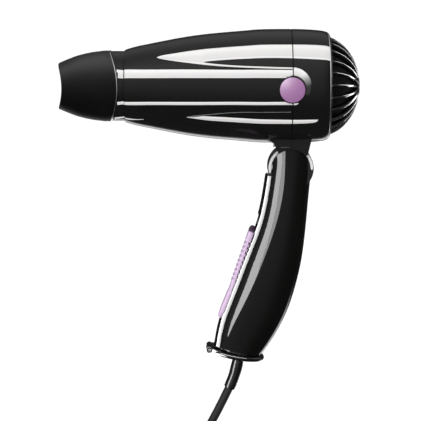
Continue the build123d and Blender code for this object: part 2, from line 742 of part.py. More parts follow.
def corner_radii(points):
    out = []
    for a, b, c in zip(points, points[1:], points[2:]):
        r1, r2 = Vector(*b) - Vector(*a), Vector(*c) - Vector(*b)
        turn = r1.get_angle(r2)
        out.append(0.45 * min(r1.length, r2.length) / math.tan(math.radians(turn) / 2))
    print("runs", [round((Vector(*b) - Vector(*a)).length, 1) for a, b in zip(points, points[1:])], "radii", [round(r, 1) for r in out])
    return out


# From the strain relief down to the top of the hank.
CORD_ROUTE = [(-29.6, 0, -95.3), (-35.3, 0.2, -107.4), (-41.7, 0.5, -119.8), (-46.9, 0.6, -131.0)]
tube(CORD_ROUTE, corner_radii(CORD_ROUTE), "mains_cord", CORD_R)

# The put-away length, folded into a hank that hangs in line below the handle, narrowest at its tie.
HANK_X, HANK_TOP, HANK_H = -48.0, -128.5, 118.0
HANK_W, HANK_T, WAIST = 51.0, 23.0, 34.0
hank_mid = HANK_TOP - HANK_H / 2
with BuildPart() as cord_hank:
    with BuildSketch(Plane.XZ):
        with BuildLine():
            w, h, q = HANK_W / 2, HANK_H / 2, WAIST / 2
            half = [(-q, 4), (-w + 4.5, 15), (-w, 30), (-w + 4.0, 45), (-w + 12, 55), (0, h), (w - 12, 55), (w - 4.0, 45), (w, 30), (w - 4.5, 15), (q, 4)]
            Spline(*[(HANK_X + x, hank_mid + z) for x, z in half], tangents=((0, 1), (0, -1)))
            Line((HANK_X + q, hank_mid + 4), (HANK_X + q, hank_mid - 4))
            Spline(*[(HANK_X + x, hank_mid - z) for x, z in half[::-1]], tangents=((0, -1), (0, 1)))
            Line((HANK_X - q, hank_mid - 4), (HANK_X - q, hank_mid + 4))
        make_face()
    extrude(amount=HANK_T / 2, both=True)
save(cord_hank.part, "cord_hank")

# The last turn is looser, and rises beside the hank to the plug, which the tie holds against it.
PLUG_X, PLUG_Z = -3.0, -206.5
TAIL_ROUTE = [(-48.3, 0, -243.5), (-35.5, 0.2, -245.8), (-20.9, 0.4, -241.9), (-9.4, 0.3, -232.2), (-3.0, 0.1, -218.5), (PLUG_X, 0, PLUG_Z)]
tube(TAIL_ROUTE, corner_radii(TAIL_ROUTE), "cord_tail", CORD_R)

with BuildPart() as plug_body:
    for dz, r in ((0, 3.4), (6, 4.0), (13, 5.0)):
        with BuildSketch(Plane.XY.offset(PLUG_Z + dz)):
            with Locations((PLUG_X, 0)):
                Circle(r)
    loft()
    for dz, a, b in ((9, 5.5, 5.0), (13, 11.0, 9.0), (20, 16.6, 12.4), (44, 17.6, 13.0)):
        with BuildSketch(Plane.XY.offset(PLUG_Z + dz)):
            with Locations((PLUG_X, 0)):
                Ellipse(a, b)
    loft()
save(plug_body.part, "plug_body")

with BuildPart() as plug_pins:
    for s in (1, -1):
        with BuildSketch(Plane.XY.offset(PLUG_Z + 44)):
            with Locations((PLUG_X + s * PLUG_PITCH / 2, 0)):
                Circle(PLUG_PIN_R)
        extrude(amount=PLUG_PIN_L)
    fillet(plug_pins.edges().filter_by(GeomType.CIRCLE).group_by(Axis.Z)[-1], 1.2)
save(plug_pins.part, "plug_pins")

with BuildPart() as hank_tie:
    with BuildSketch(Plane.XY.offset(hank_mid - 3)):
        with Locations((-25.8, 0)):
            RectangleRounded(83.8, 29.0, 6.3)
            RectangleRounded(81.2, 26.4, 5.0, mode=Mode.SUBTRACT)
    extrude(amount=6)
save(hank_tie.part, "hank_tie")
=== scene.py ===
import math

import bmesh
import bpy
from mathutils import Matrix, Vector
from mathutils.bvhtree import BVHTree


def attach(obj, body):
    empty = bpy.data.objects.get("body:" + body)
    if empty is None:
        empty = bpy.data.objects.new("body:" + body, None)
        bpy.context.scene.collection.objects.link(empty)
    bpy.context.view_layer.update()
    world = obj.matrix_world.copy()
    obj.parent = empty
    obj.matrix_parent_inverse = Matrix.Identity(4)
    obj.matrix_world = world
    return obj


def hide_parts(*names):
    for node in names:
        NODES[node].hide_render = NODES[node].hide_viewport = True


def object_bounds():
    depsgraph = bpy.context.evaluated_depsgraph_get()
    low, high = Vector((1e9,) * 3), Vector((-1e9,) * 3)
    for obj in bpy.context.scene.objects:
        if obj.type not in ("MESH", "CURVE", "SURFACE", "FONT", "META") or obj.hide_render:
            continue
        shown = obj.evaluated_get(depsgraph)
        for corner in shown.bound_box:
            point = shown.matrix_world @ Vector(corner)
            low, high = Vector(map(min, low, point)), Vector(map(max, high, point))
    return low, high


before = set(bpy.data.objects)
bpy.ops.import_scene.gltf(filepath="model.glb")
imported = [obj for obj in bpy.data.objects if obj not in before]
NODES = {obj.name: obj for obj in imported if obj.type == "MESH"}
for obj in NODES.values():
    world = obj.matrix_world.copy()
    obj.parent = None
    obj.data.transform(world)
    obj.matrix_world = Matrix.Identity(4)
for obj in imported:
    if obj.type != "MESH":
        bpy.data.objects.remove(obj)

cad_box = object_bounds()
MM = 0.001
AX = 96.0                      # barrel axis height, mm
PX, PZ = 8.2, 45.5             # fold pivot, mm
scene = bpy.context.scene


# ------------------------------------------------------------------ camera
cam_data = bpy.data.cameras.new("camera")
cam = bpy.data.objects.new("camera", cam_data)
scene.collection.objects.link(cam)
scene.camera = cam
cam_data.sensor_width = 36.0
cam_data.lens = 18.0 / math.tan(math.radians(13.43) / 2)
cam.location = (-0.0415, -1.1080, 0.1747)
look = Vector((-0.0415, 0.0, 0.01803)) - cam.location
cam.rotation_mode = "QUATERNION"
cam.rotation_quaternion = look.to_track_quat("-Z", "Y")
cam_data.clip_start, cam_data.clip_end = 0.05, 50.0


# ------------------------------------------------------------------ the cord, its hank and its tail
CORD_D = 0.0054
HX, HZ = -48.0, -187.5         # middle of the hank, at its tie


def hank_turns(first, last):
    """Control points of the hank's turns, round two folds and through the tie, from turn first to turn last."""
    out = []
    n = 24
    for i in range(round(first * n), round(last * n) + 1):
        t = i / n
        outer = min(1.0, max(0.0, (t - 3.0) / 0.3))
        outer = outer * outer * (3 - 2 * outer)
        w = 17.4 + 5.4 * outer
        q = 8.0 + 5.5 * outer
        y = 8.1 - 5.4 * t if t < 3.0 else (-8.1 if t < 3.3 else -8.1 + 5.4 * (t - 3.3))
        k = i % n
        rho = w / 0.966
        if k == 0:
            x, z = -q, 0.0
        elif k in (1, 2):
            f, z = ((0.15, -11.0), (0.8, -23.0))[k - 1]
            x = -(q + (w - q) * f)
        elif 3 <= k <= 9:
            a = math.radians(180 + 30 * (k - 3))
            x, z = rho * math.cos(a), -33.5 + rho * math.sin(a)
        elif k in (10, 11):
            f, z = ((0.8, -23.0), (0.15, -11.0))[k - 10]
            x = q + (w - q) * f
        elif k == 12:
            x, z = q, 0.0
        elif k in (13, 14):
            f, z = ((0.15, 11.0), (0.8, 23.0))[k - 13]
            x = q + (w - q) * f
        elif 15 <= k <= 21:
            a = math.radians(30 * (k - 15))
            x, z = rho * math.cos(a), 33.5 + rho * math.sin(a)
        else:
            f, z = ((0.8, 23.0), (0.15, 11.0))[k - 22]
            x = -(q + (w - q) * f)
        out.append((HX + x, y, HZ + z))
    return out


ROUTE = [(-29.6, 0, -95.3), (-35.3, 0.2, -107.4), (-41.7, 1.2, -119.8), (-46.9, 5.0, -131.0), (-54.0, 8.6, -143.5), (-60.5, 8.8, -155.5)]
ROUTE += hank_turns(-2 / 24, 6 + 5 / 24)
ROUTE += [(-48.3, 6.4, -243.5), (-35.5, 4.4, -245.8), (-20.9, 2.4, -241.9), (-9.4, 1.0, -232.2), (-3.0, 0.2, -218.5), (-3.0, 0, -206.5)]


def nurbs(name, points, radius, resolution=8):
    """A curve of one smooth open spline through millimetre control points."""
    data = bpy.data.curves.new(name, "CURVE")
    data.dimensions = "3D"
    sp = data.splines.new("NURBS")
    sp.points.add(len(points) - 1)
    for p, c in zip(sp.points, points):
        p.co = (c[0] * MM, c[1] * MM, c[2] * MM, 1.0)
    sp.order_u = 3
    sp.use_endpoint_u = True
    sp.resolution_u = resolution
    data.bevel_depth = radius
    data.bevel_resolution = 6
    data.use_fill_caps = True
    ob = bpy.data.objects.new(name, data)
    scene.collection.objects.link(ob)
    return ob


# ------------------------------------------------------------------ materials
def nodes_of(name):
    m = bpy.data.materials.new(name)
    m.use_nodes = True
    nt = m.node_tree
    return m, nt, nt.nodes["Principled BSDF"]


def add(nt, kind, **inputs):
    n = nt.nodes.new(kind)
    for k, v in inputs.items():
        n.inputs[k.replace("_", " ")].default_value = v
    return n


def plastic(name, base, rough, spec=0.5, coat=0.0, grain=0.0, scale=900.0, vary=0.08, rough_vary=0.05, coat_rough=0.06):
    """Moulded plastic: faint colour and roughness variation, and a fine grain."""
    m, nt, b = nodes_of(name)
    tc = nt.nodes.new("ShaderNodeTexCoord")
    noise = add(nt, "ShaderNodeTexNoise", Scale=60.0, Detail=3.0)
    nt.links.new(tc.outputs["Object"], noise.inputs["Vector"])
    ramp = nt.nodes.new("ShaderNodeMix")
    ramp.data_type = "RGBA"
    ramp.inputs["A"].default_value = tuple(c * (1 - vary) for c in base) + (1,)
    ramp.inputs["B"].default_value = tuple(min(1, c * (1 + vary)) for c in base) + (1,)
    nt.links.new(noise.outputs["Fac"], ramp.inputs["Factor"])
    nt.links.new(ramp.outputs["Result"], b.inputs["Base Color"])
    fine = add(nt, "ShaderNodeTexNoise", Scale=scale, Detail=2.0)
    nt.links.new(tc.outputs["Object"], fine.inputs["Vector"])
    rr = nt.nodes.new("ShaderNodeMapRange")
    rr.inputs["To Min"].default_value = max(0.02, rough - rough_vary)
    rr.inputs["To Max"].default_value = rough + rough_vary
    nt.links.new(noise.outputs["Fac"], rr.inputs["Value"])
    nt.links.new(rr.outputs["Result"], b.inputs["Roughness"])
    b.inputs["Specular IOR Level"].default_value = spec
    b.inputs["Coat Weight"].default_value = coat
    b.inputs["Coat Roughness"].default_value = coat_rough
    if grain:
        bump = add(nt, "ShaderNodeBump", Strength=grain, Distance=0.00004)
        nt.links.new(fine.outputs["Fac"], bump.inputs["Height"])
        nt.links.new(bump.outputs["Normal"], b.inputs["Normal"])
    return m


def metal(name, base, rough, brush=None, vary=0.06):
    """Metal with fine directional marks along one axis."""
    m, nt, b = nodes_of(name)
    tc = nt.nodes.new("ShaderNodeTexCoord")
    mp = add(nt, "ShaderNodeMapping", Scale=brush or (400, 4000, 400))
    nt.links.new(tc.outputs["Object"], mp.inputs["Vector"])
    noise = add(nt, "ShaderNodeTexNoise", Scale=1.0, Detail=3.0)
    nt.links.new(mp.outputs["Vector"], noise.inputs["Vector"])
    mix = nt.nodes.new("ShaderNodeMix")
    mix.data_type = "RGBA"
    mix.inputs["A"].default_value = tuple(c * (1 - vary) for c in base) + (1,)
    mix.inputs["B"].default_value = tuple(min(1, c * (1 + vary)) for c in base) + (1,)
    nt.links.new(noise.outputs["Fac"], mix.inputs["Factor"])
    nt.links.new(mix.outputs["Result"], b.inputs["Base Color"])
    rr = nt.nodes.new("ShaderNodeMapRange")
    rr.inputs["To Min"].default_value = max(0.02, rough - 0.06)
    rr.inputs["To Max"].default_value = rough + 0.06
    nt.links.new(noise.outputs["Fac"], rr.inputs["Value"])
    nt.links.new(rr.outputs["Result"], b.inputs["Roughness"])
    b.inputs["Metallic"].default_value = 1.0
    return m


relief_black = plastic("relief_black", (0.004, 0.004, 0.004), 0.22, spec=0.4)
barrel_black = plastic("barrel_black", (0.0058, 0.0059, 0.0058), 0.15, spec=0.13, grain=0.01, scale=2500, rough_vary=0.02)
nozzle_black = plastic("nozzle_black", (0.0036, 0.0036, 0.0036), 0.5, spec=0.05, grain=1.4, scale=1500, vary=0.5)
handle_black = plastic("handle_black", (0.0030, 0.0030, 0.0028), 0.06, spec=0.15, grain=0.0, rough_vary=0.015)
gloss_black = plastic("gloss_black", (0.004, 0.004, 0.004), 0.12, spec=0.35)
dark_plastic = plastic("dark_plastic", (0.02, 0.02, 0.021), 0.5, spec=0.3, grain=0.2)
duct_plastic = plastic("duct_plastic", (0.03, 0.03, 0.032), 0.5, spec=0.3, grain=0.2)
fan_plastic = plastic("fan_plastic", (0.05, 0.05, 0.052), 0.45, spec=0.4, grain=0.1)
cord_black = plastic("cord_black", (0.014, 0.014, 0.014), 0.38, spec=0.4, grain=0.15, scale=1500)
tie_black = plastic("tie_black", (0.02, 0.02, 0.02), 0.6, spec=0.3, grain=0.4, scale=1200)
lilac = plastic("lilac", (0.55, 0.41, 0.585), 0.30, spec=0.4, coat=0.15, coat_rough=0.15, vary=0.01)
# deep lilac: painted shade in the slider's rib grooves
lilac_groove_shade = plastic("lilac_groove_shade", (0.12, 0.05, 0.13), 0.5, spec=0.2)
# near-black foam: painted shade inside the inlet dome
foam_shade_black = plastic("foam_shade_black", (0.0018, 0.0018, 0.0018), 0.8, spec=0.05, grain=1.0, scale=700)
mesh_black = plastic("mesh_black", (0.018, 0.018, 0.018), 0.3, spec=0.4)
lilac_cap = plastic("lilac_cap", (0.262, 0.102, 0.262), 0.48, spec=0.5, coat=0.0, vary=0.01, rough_vary=0.01)
# dark plum: painted shade on the slider's top end
plum_painted_shade = plastic("plum_painted_shade", (0.045, 0.022, 0.045), 0.35, spec=0.4)
mica = plastic("mica", (0.46, 0.38, 0.27), 0.45, spec=0.4, grain=0.3, scale=500, vary=0.25)
board_green = plastic("board_green", (0.02, 0.12, 0.05), 0.3, spec=0.5, grain=0.1)
wire_grey = plastic("wire_grey", (0.35, 0.35, 0.36), 0.45, spec=0.4)
steel = metal("screw_steel", (0.62, 0.62, 0.63), 0.28)
motor_steel = metal("motor_steel", (0.6, 0.6, 0.6), 0.32, brush=(400, 4000, 4000))
brass = metal("contact_brass", (0.8, 0.58, 0.28), 0.3)
nickel = metal("pin_nickel", (0.78, 0.74, 0.66), 0.18, brush=(4000, 4000, 300))
heater_metal = metal("heater_wire", (0.42, 0.36, 0.31), 0.35)
alu = metal("fuse_metal", (0.75, 0.75, 0.76), 0.3)


def paint(name, *nodes):
    for n in nodes:
        ob = NODES[n]
        ob.data.materials.clear()
        ob.data.materials.append(name)


paint(barrel_black, "front_housing", "rear_housing")
paint(gloss_black, "hinge_drum", "end_cap", "hang_ring", "rear_grille")
paint(relief_black, "strain_relief")
paint(nozzle_black, "nozzle")
paint(handle_black, "handle_front_shell", "handle_rear_shell")
paint(dark_plastic, "intake_filter", "switch_carriage", "switch_body", "cord_clamp")
paint(duct_plastic, "stator_duct", "outlet_guard")
paint(fan_plastic, "fan_impeller")
paint(lilac, "switch_slider")
paint(lilac_cap, "side_cap_near", "side_cap_far")
paint(steel, "housing_screws", "handle_screws", "hinge_pin", "ring_pin", "motor_shaft")
paint(motor_steel, "motor")
paint(board_green, "rectifier_board")
paint(mica, "heater_boards", "mica_sleeve")
paint(heater_metal, "heater_coil")
paint(alu, "thermostat", "thermal_fuse")
paint(brass, "switch_contacts")
paint(wire_grey, "barrel_wiring", "handle_wiring")
paint(tie_black, "hank_tie")
paint(gloss_black, "plug_body")
paint(nickel, "plug_pins")

cord = nurbs("cord", ROUTE, CORD_D / 2)
cord.data.materials.append(cord_black)
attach(cord, "handle")
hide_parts("mains_cord", "cord_hank", "cord_tail")


# ------------------------------------------------------------------ mesh helpers
def make(name, verts, faces, mat, body, replaces=(), uvs=None, smooth=True, mats=None, face_mats=None):
    """A mesh piece from millimetre vertices."""
    me = bpy.data.meshes.new(name)
    me.from_pydata([(x * MM, y * MM, z * MM) for x, y, z in verts], [], faces)
    bm = bmesh.new()
    bm.from_mesh(me)
    bmesh.ops.recalc_face_normals(bm, faces=bm.faces)
    bm.to_mesh(me)
    bm.free()
    for m in (mats or [mat]):
        me.materials.append(m)
    if face_mats:
        for p, i in zip(me.polygons, face_mats):
            p.material_index = i
    for p in me.polygons:
        p.use_smooth = smooth
    if uvs:
        layer = me.uv_layers.new(name="UVMap")
        for loop in me.loops:
            layer.data[loop.index].uv = uvs[loop.vertex_index]
    ob = bpy.data.objects.new(name, me)
    scene.collection.objects.link(ob)
    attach(ob, body)
    if replaces:
        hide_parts(*replaces)
    return ob


def grid(rows, closed_v=False, closed_u=False):
    """Vertices and quads of a net of points, rows of equal length."""
    n = len(rows[0])
    verts = [p for r in rows for p in r]
    faces = []
    m = len(rows)
    for i in range(m if closed_v else m - 1):
        for j in range(n if closed_u else n - 1):
            a, b = i * n + j, i * n + (j + 1) % n
            c, d = ((i + 1) % m) * n + (j + 1) % n, ((i + 1) % m) * n + j
            faces.append((a, b, c, d))
    return verts, faces


def interp(table, x):
    """Smooth monotone reading of a table of (x, y)."""
    if x <= table[0][0]:
        return table[0][1]
    if x >= table[-1][0]:
        return table[-1][1]
    n = len(table)
    h = [table[i + 1][0] - table[i][0] for i in range(n - 1)]
    d = [(table[i + 1][1] - table[i][1]) / h[i] for i in range(n - 1)]
    m = [d[0]] + [0.0 if d[i - 1] * d[i] <= 0 else 3 * (h[i - 1] + h[i]) / ((2 * h[i] + h[i - 1]) / d[i - 1] + (h[i] + 2 * h[i - 1]) / d[i]) for i in range(1, n - 1)] + [d[-1]]
    for i in range(n - 1):
        if x <= table[i + 1][0]:
            t = (x - table[i][0]) / h[i]
            return ((1 + 2 * t) * (1 - t) ** 2 * table[i][1] + t * (1 - t) ** 2 * h[i] * m[i]
                    + t * t * (3 - 2 * t) * table[i + 1][1] + t * t * (t - 1) * h[i] * m[i + 1])


# ------------------------------------------------------------------ barrel: radius along its length
BARREL_R = [(-110, 21.6), (-95.2, 21.6), (-94.3, 22.35), (-91.1, 23.4), (-78.7, 26.2), (-58.9, 30.0), (-39.0, 32.6), (-19.2, 34.3), (8.2, 35.15), (18, 34.9), (26.6, 34.2), (30.2, 33.3)]


def tree_of(*names):
    """Ray-casting tree of some CAD nodes, millimetres."""
    verts, faces = [], []
    for n in names:
        ob = NODES[n]
        base = len(verts)
        verts += [tuple((ob.matrix_world @ v.co) / MM) for v in ob.data.vertices]
        faces += [tuple(base + i for i in p.vertices) for p in ob.data.polygons]
    return BVHTree.FromPolygons(verts, faces)


BARREL = tree_of("front_housing", "rear_housing")


def on_barrel(x, deg, lift, far=False):
    """Point on the barrel at x, deg above its middle plane, lifted off the surface."""
    a = math.radians(deg)
    d = Vector((0, -math.cos(a), math.sin(a)))
    start = Vector((x, 0, AX)) + d * 60
    hit = BARREL.ray_cast(start, -d, 45)[0]
    r = math.hypot(hit.y, hit.z - AX) if hit is not None else interp(BARREL_R, x)
    r = max(r, interp(BARREL_R, x) - 1.5) + lift
    y = -r * math.cos(a)
    return (x, -y if far else y, AX + r * math.sin(a))


def silver_lacquer_and_painted_light(name, painted_shade_line=None):
    """Silver lacquer with painted light: a painted highlight along both of the band's edges and painted shade across
    its lower middle, so it reads lighter towards the upper edge, with faint length-wise streaks. The optional line (x0,
    z0, x1, z1), mm, paints shade that darkens it along that line.
    """
    m, nt, b = nodes_of(name)
    uv = nt.nodes.new("ShaderNodeUVMap")
    uv.uv_map = "UVMap"
    sep = nt.nodes.new("ShaderNodeSeparateXYZ")
    nt.links.new(uv.outputs["UV"], sep.inputs["Vector"])
    # painted light across the band: a painted highlight at both edges, painted shade across the lower middle, lighter
    # towards the upper edge
    ramp = nt.nodes.new("ShaderNodeValToRGB")
    cr = ramp.color_ramp
    cr.elements[0].position, cr.elements[0].color = 0.0, (0.79, 0.785, 0.78, 1)
    cr.elements[1].position, cr.elements[1].color = 1.0, (0.79, 0.785, 0.78, 1)
    for pos, v in ((0.07, 0.79), (0.14, 0.57), (0.5, 0.62), (0.86, 0.74), (0.93, 0.79)):
        e = cr.elements.new(pos)
        e.color = (v, v * 0.985, v * 0.975, 1)
    nt.links.new(sep.outputs["Y"], ramp.inputs["Fac"])
    tc = nt.nodes.new("ShaderNodeTexCoord")
    mp = add(nt, "ShaderNodeMapping", Scale=(40, 900, 900))
    nt.links.new(tc.outputs["Object"], mp.inputs["Vector"])
    noise = add(nt, "ShaderNodeTexNoise", Scale=1.0, Detail=3.0)
    nt.links.new(mp.outputs["Vector"], noise.inputs["Vector"])
    mul = nt.nodes.new("ShaderNodeMix")
    mul.data_type = "RGBA"
    mul.blend_type = "MULTIPLY"
    mul.inputs["Factor"].default_value = 0.08
    nt.links.new(ramp.outputs["Color"], mul.inputs["A"])
    nt.links.new(noise.outputs["Color"], mul.inputs["B"])
    out = mul.outputs["Result"]
    # painted shade: darkens the colour along the given line, to near black at its end
    if painted_shade_line:
        x0, z0, x1, z1 = (v * MM for v in painted_shade_line)
        sub = nt.nodes.new("ShaderNodeVectorMath")
        sub.operation = "SUBTRACT"
        sub.inputs[1].default_value = (x0, 0, z0)
        nt.links.new(tc.outputs["Object"], sub.inputs[0])
        dot = nt.nodes.new("ShaderNodeVectorMath")
        dot.operation = "DOT_PRODUCT"
        ll = (x1 - x0) ** 2 + (z1 - z0) ** 2
        dot.inputs[1].default_value = ((x1 - x0) / ll, 0, (z1 - z0) / ll)
        nt.links.new(sub.outputs["Vector"], dot.inputs[0])
        fr = nt.nodes.new("ShaderNodeValToRGB")
        fr.color_ramp.elements[0].color = (1, 1, 1, 1)
        fr.color_ramp.elements[1].color = (0.015, 0.015, 0.015, 1)
        e = fr.color_ramp.elements.new(0.5)
        e.color = (0.35, 0.35, 0.35, 1)
        nt.links.new(dot.outputs["Value"], fr.inputs["Fac"])
        mm = nt.nodes.new("ShaderNodeMix")
        mm.data_type = "RGBA"
        mm.blend_type = "MULTIPLY"
        mm.inputs["Factor"].default_value = 1.0
        nt.links.new(out, mm.inputs["A"])
        nt.links.new(fr.outputs["Color"], mm.inputs["B"])
        out = mm.outputs["Result"]
    nt.links.new(out, b.inputs["Base Color"])
    b.inputs["Roughness"].default_value = 0.32
    b.inputs["Specular IOR Level"].default_value = 0.5
    return m


# silver trim for the bands; its colour carries painted highlights at the edges and painted shade across the middle
silver = silver_lacquer_and_painted_light("silver_trim")
# grey metal for thin lines: a trim line under the barrel, and the painted highlight at the nozzle's rear edge
silver_thin = metal("silver_thin", (0.40, 0.40, 0.40), 0.4, brush=(60, 900, 900))
# dim metal for the painted highlight on the neck
neck_highlight_grey = metal("neck_highlight_grey", (0.10, 0.10, 0.10), 0.45, brush=(60, 900, 900))
# pale metal for the painted highlight on the rear shoulder
silver_highlight_line = metal("silver_highlight_line", (0.70, 0.70, 0.70), 0.35, brush=(900, 200, 200))


def band(name, low, high, x0, x1, body, far, mat=None, step=0.8, lift=0.09, across=6, closed_end=False):
    """A thin inlay on the barrel between two boundaries, each a table of (x, degrees)."""
    n = max(2, int(abs(x1 - x0) / step))
    rows, uv = [], []
    for i in range(n + 1):
        x = x0 + (x1 - x0) * i / n
        lo, hi = interp(low, x), interp(high, x)
        if hi < lo + 0.02:
            hi = lo + 0.02
        row = [on_barrel(x, lo, -0.15, far)]
        uvr = [(x / 100, 0.0)]
        for j in range(across + 1):
            f = j / across
            row.append(on_barrel(x, lo + (hi - lo) * f, lift, far))
            uvr.append((x / 100, f))
        row.append(on_barrel(x, hi, -0.15, far))
        uvr.append((x / 100, 1.0))
        rows.append(row)
        uv += uvr
    verts, faces = grid(rows)
    return make(name, verts, faces, mat or silver, body, uvs=uv)


A_TOP = [(-74.2, 43.6), (-72.8, 44.8), (-70.97, 45.65), (-63.66, 46.35), (-53.93, 47.33), (-44.22, 48.14), (-34.53, 48.51), (-24.84, 48.82), (-15.15, 49.0), (-5.47, 49.2), (8.2, 49.2), (28.5, 49.5), (31, 49.5)]
A_LOW = [(-74.2, 43.5), (-72.8, 41.6), (-70.93, 39.94), (-63.6, 35.19), (-53.88, 30.57), (-44.21, 27.27), (-34.57, 24.99), (-24.94, 23.46), (-15.33, 22.24), (-5.73, 21.4), (3.88, 20.9), (8.2, 20.8)]
IN_TOP = [(-46.02, 30.6), (-44.21, 31.4), (-34.56, 32.2), (-24.92, 32.6), (-5.65, 32.7), (8.2, 32.3), (18.43, 31.7), (28.12, 31.4), (31, 31.3)]
IN_LOW = [(-46.02, 30.6), (-44.21, 29.65), (-34.56, 26.91), (-24.94, 25.09), (-15.33, 23.8), (-5.72, 23.0), (8.2, 22.3)]
B_TOP = [(-99.5, 31.6), (-98.44, 31.35), (-85, 27.4), (-72.07, 25.06), (-47.83, 22.2), (-23.75, 20.6), (0.27, 19.9), (8.2, 19.75)]
B_LOW = [(-99.5, 17.1), (-98.36, 16.88), (-85, 15.1), (-72.04, 14.05), (-47.82, 12.75), (-23.76, 12.1), (0.25, 11.86), (8.2, 11.8)]
D_TOP = [(-99.5, -23.1), (-97.89, -22.71), (-85, -19.0), (-72.1, -16.56), (-47.83, -13.78), (-23.73, -12.4), (6.93, -11.81), (8.2, -11.8)]
D_LOW = [(-99.5, -28.7), (-97.95, -28.13), (-85, -23.6), (-72.13, -20.55), (-47.84, -17.17), (-23.72, -15.51), (6.96, -14.8), (8.2, -14.8)]
E_TOP = [(-56.0, -34.3), (-53.94, -32.57), (-44.22, -28.72), (-34.54, -25.89), (-24.88, -23.9), (-15.24, -22.99), (7.06, -22.39)]
E_TOP2 = [(-56.0, -34.3), (-53.94, -33.4), (-44.22, -29.9), (-34.54, -26.75), (-24.88, -24.55), (-15.24, -23.6), (7.06, -22.9)]
E_LO1 = [(-46.0, -30.9), (-44.22, -30.97), (-34.53, -30.8), (-24.85, -30.91), (-15.17, -31.17), (-5.49, -31.3), (6.6, -31.6), (18.71, -31.8), (23.7, -32.1)]
E_LO2 = [(-46.0, -35.8), (-44.23, -36.0), (-34.52, -36.3), (-15.12, -36.49), (6.69, -36.43), (17.5, -36.0), (20.8, -35.6), (22.9, -34.6), (23.7, -32.4)]

for far, side in ((False, "near"), (True, "far")):
    gap = 0.32
    # upper leaf: solid point, then a broad upper band and a hair line round a black leaf
    band(f"trim_leaf_tip_{side}", A_LOW, A_TOP, -74.2, -46.02, "barrel", far)
    band(f"trim_leaf_top_{side}", IN_TOP, A_TOP, -46.02, 8.2 - gap, "barrel", far)
    band(f"trim_leaf_line_{side}", A_LOW, IN_LOW, -46.02, 8.2 - gap, "barrel", far)
    band(f"trim_rear_top_{side}", IN_TOP, A_TOP, 8.2 + gap, 31.0, "barrel", far, step=0.4)
    band(f"trim_middle_{side}", B_LOW, B_TOP, -98.6, 8.2 - gap, "barrel", far)
    band(f"trim_lower_line_{side}", D_LOW, D_TOP, -98.4, 8.2 - gap, "barrel", far)
    band(f"trim_under_line_{side}", E_TOP2, E_TOP, -56.0, 7.0, "barrel", far, mat=silver_thin)
    band(f"trim_under_tick_{side}", [(8.52, -14.9), (9.6, -15.0), (11.5, -13.6)], [(8.52, -13.2), (9.6, -13.2), (11.5, -12.9)], 8.54, 11.4, "barrel", far, step=0.3)
    band(f"trim_under_tip_{side}", [(-56.0, -34.5), (-50, -35.3), (-46.0, -35.8)], [(-56.0, -34.3), (-50, -32.6), (-46.0, -30.9)], -56.0, -46.0, "barrel", far)
    band(f"trim_under_band_{side}", E_LO2, E_LO1, -46.0, 8.2 - gap, "barrel", far)
    band(f"trim_under_rear_{side}", E_LO2, E_LO1, 8.2 + gap, 23.65, "barrel", far)
    # short pointed band under the collar's end
    band(f"trim_collar_{side}", [(-100.5, -66.5), (-97, -63.0), (-90.95, -57.6), (-82.3, -49.2)], [(-100.5, -60.0), (-97, -57.5), (-90.95, -54.6), (-82.3, -48.9)], -100.5, -82.3, "barrel", far)

# arc of the middle band round the side cap, with painted shade that darkens it to near black behind the cap
arc_silver_painted_shade = silver_lacquer_and_painted_light("silver_trim_arc", painted_shade_line=(15.2, AX + 9.8, 19.2, AX + 3.4))
for far, side in ((False, "near"), (True, "far")):
    rows, uv = [], []
    for i in range(61):
        a = math.radians(91 - 121 * i / 60)
        ox, oz = 8.2 + 11.15 * math.cos(a), 2.2 + 11.15 * math.sin(a)
        ang = math.atan2(oz, ox - 7.8)
        ix, iz = 7.8 + 7.75 * math.cos(ang), 7.75 * math.sin(ang)
        row = []
        for j, f in enumerate([0.0, 0.0, 0.2, 0.4, 0.6, 0.8, 1.0, 1.0]):
            x, z = ix + (ox - ix) * f, iz + (oz - iz) * f
            x = max(x, 8.52)
            lift = -0.15 if j in (0, 7) else 0.1
            deg = math.degrees(math.asin(max(-1, min(1, z / 35.1))))
            row.append(on_barrel(x, deg, lift, far))
            uv.append((i / 60, f))
        rows.append(row)
    v, f = grid(rows)
    make(f"trim_arc_{side}", v, f, arc_silver_painted_shade, "barrel", uvs=uv)

# painted highlight: a pale metal hairline round the rear shoulder, standing in for the reflection along its rounded
# edge
rows, uv = [], []
for i in range(181):
    deg = 360 * i / 180
    row = []
    for x, lift in ((30.75, -0.1), (30.8, 0.05), (31.0, 0.09), (31.2, 0.05), (31.25, -0.1)):
        row.append(on_barrel(x, deg, lift))
    rows.append(row)
v, f = grid(rows)
make("shoulder_painted_highlight", v, f, silver_highlight_line, "barrel")


# ------------------------------------------------------------------ nozzle
def ease(t):
    return t * t * (3 - 2 * t)


NOZ_OUT = [(-137.6, 13.1, 18.6), (-130, 16.5, 19.6), (-122.4, 19.2, 20.7), (-112, 21.3, 21.7), (-104, 22, 22), (-96, 21.9, 21.9)]
NOZ_IN = [(-137.7, 11.5, 17.0), (-130, 14.9, 18.0), (-122.4, 17.5, 18.9), (-118.9, 18.5, 19.2), (-118.6, 19.86, 19.86), (-96, 19.86, 19.86)]


def nozzle_point(table, x, phi):
    a = interp([(t[0], t[1]) for t in table], x)
    b = interp([(t[0], t[2]) for t in table], x)
    return (x, -b * math.cos(phi), AX + a * math.sin(phi))


def arc_x(centre, radius, z):
    return centre + math.sqrt(max(radius * radius - z * z, 1.0))


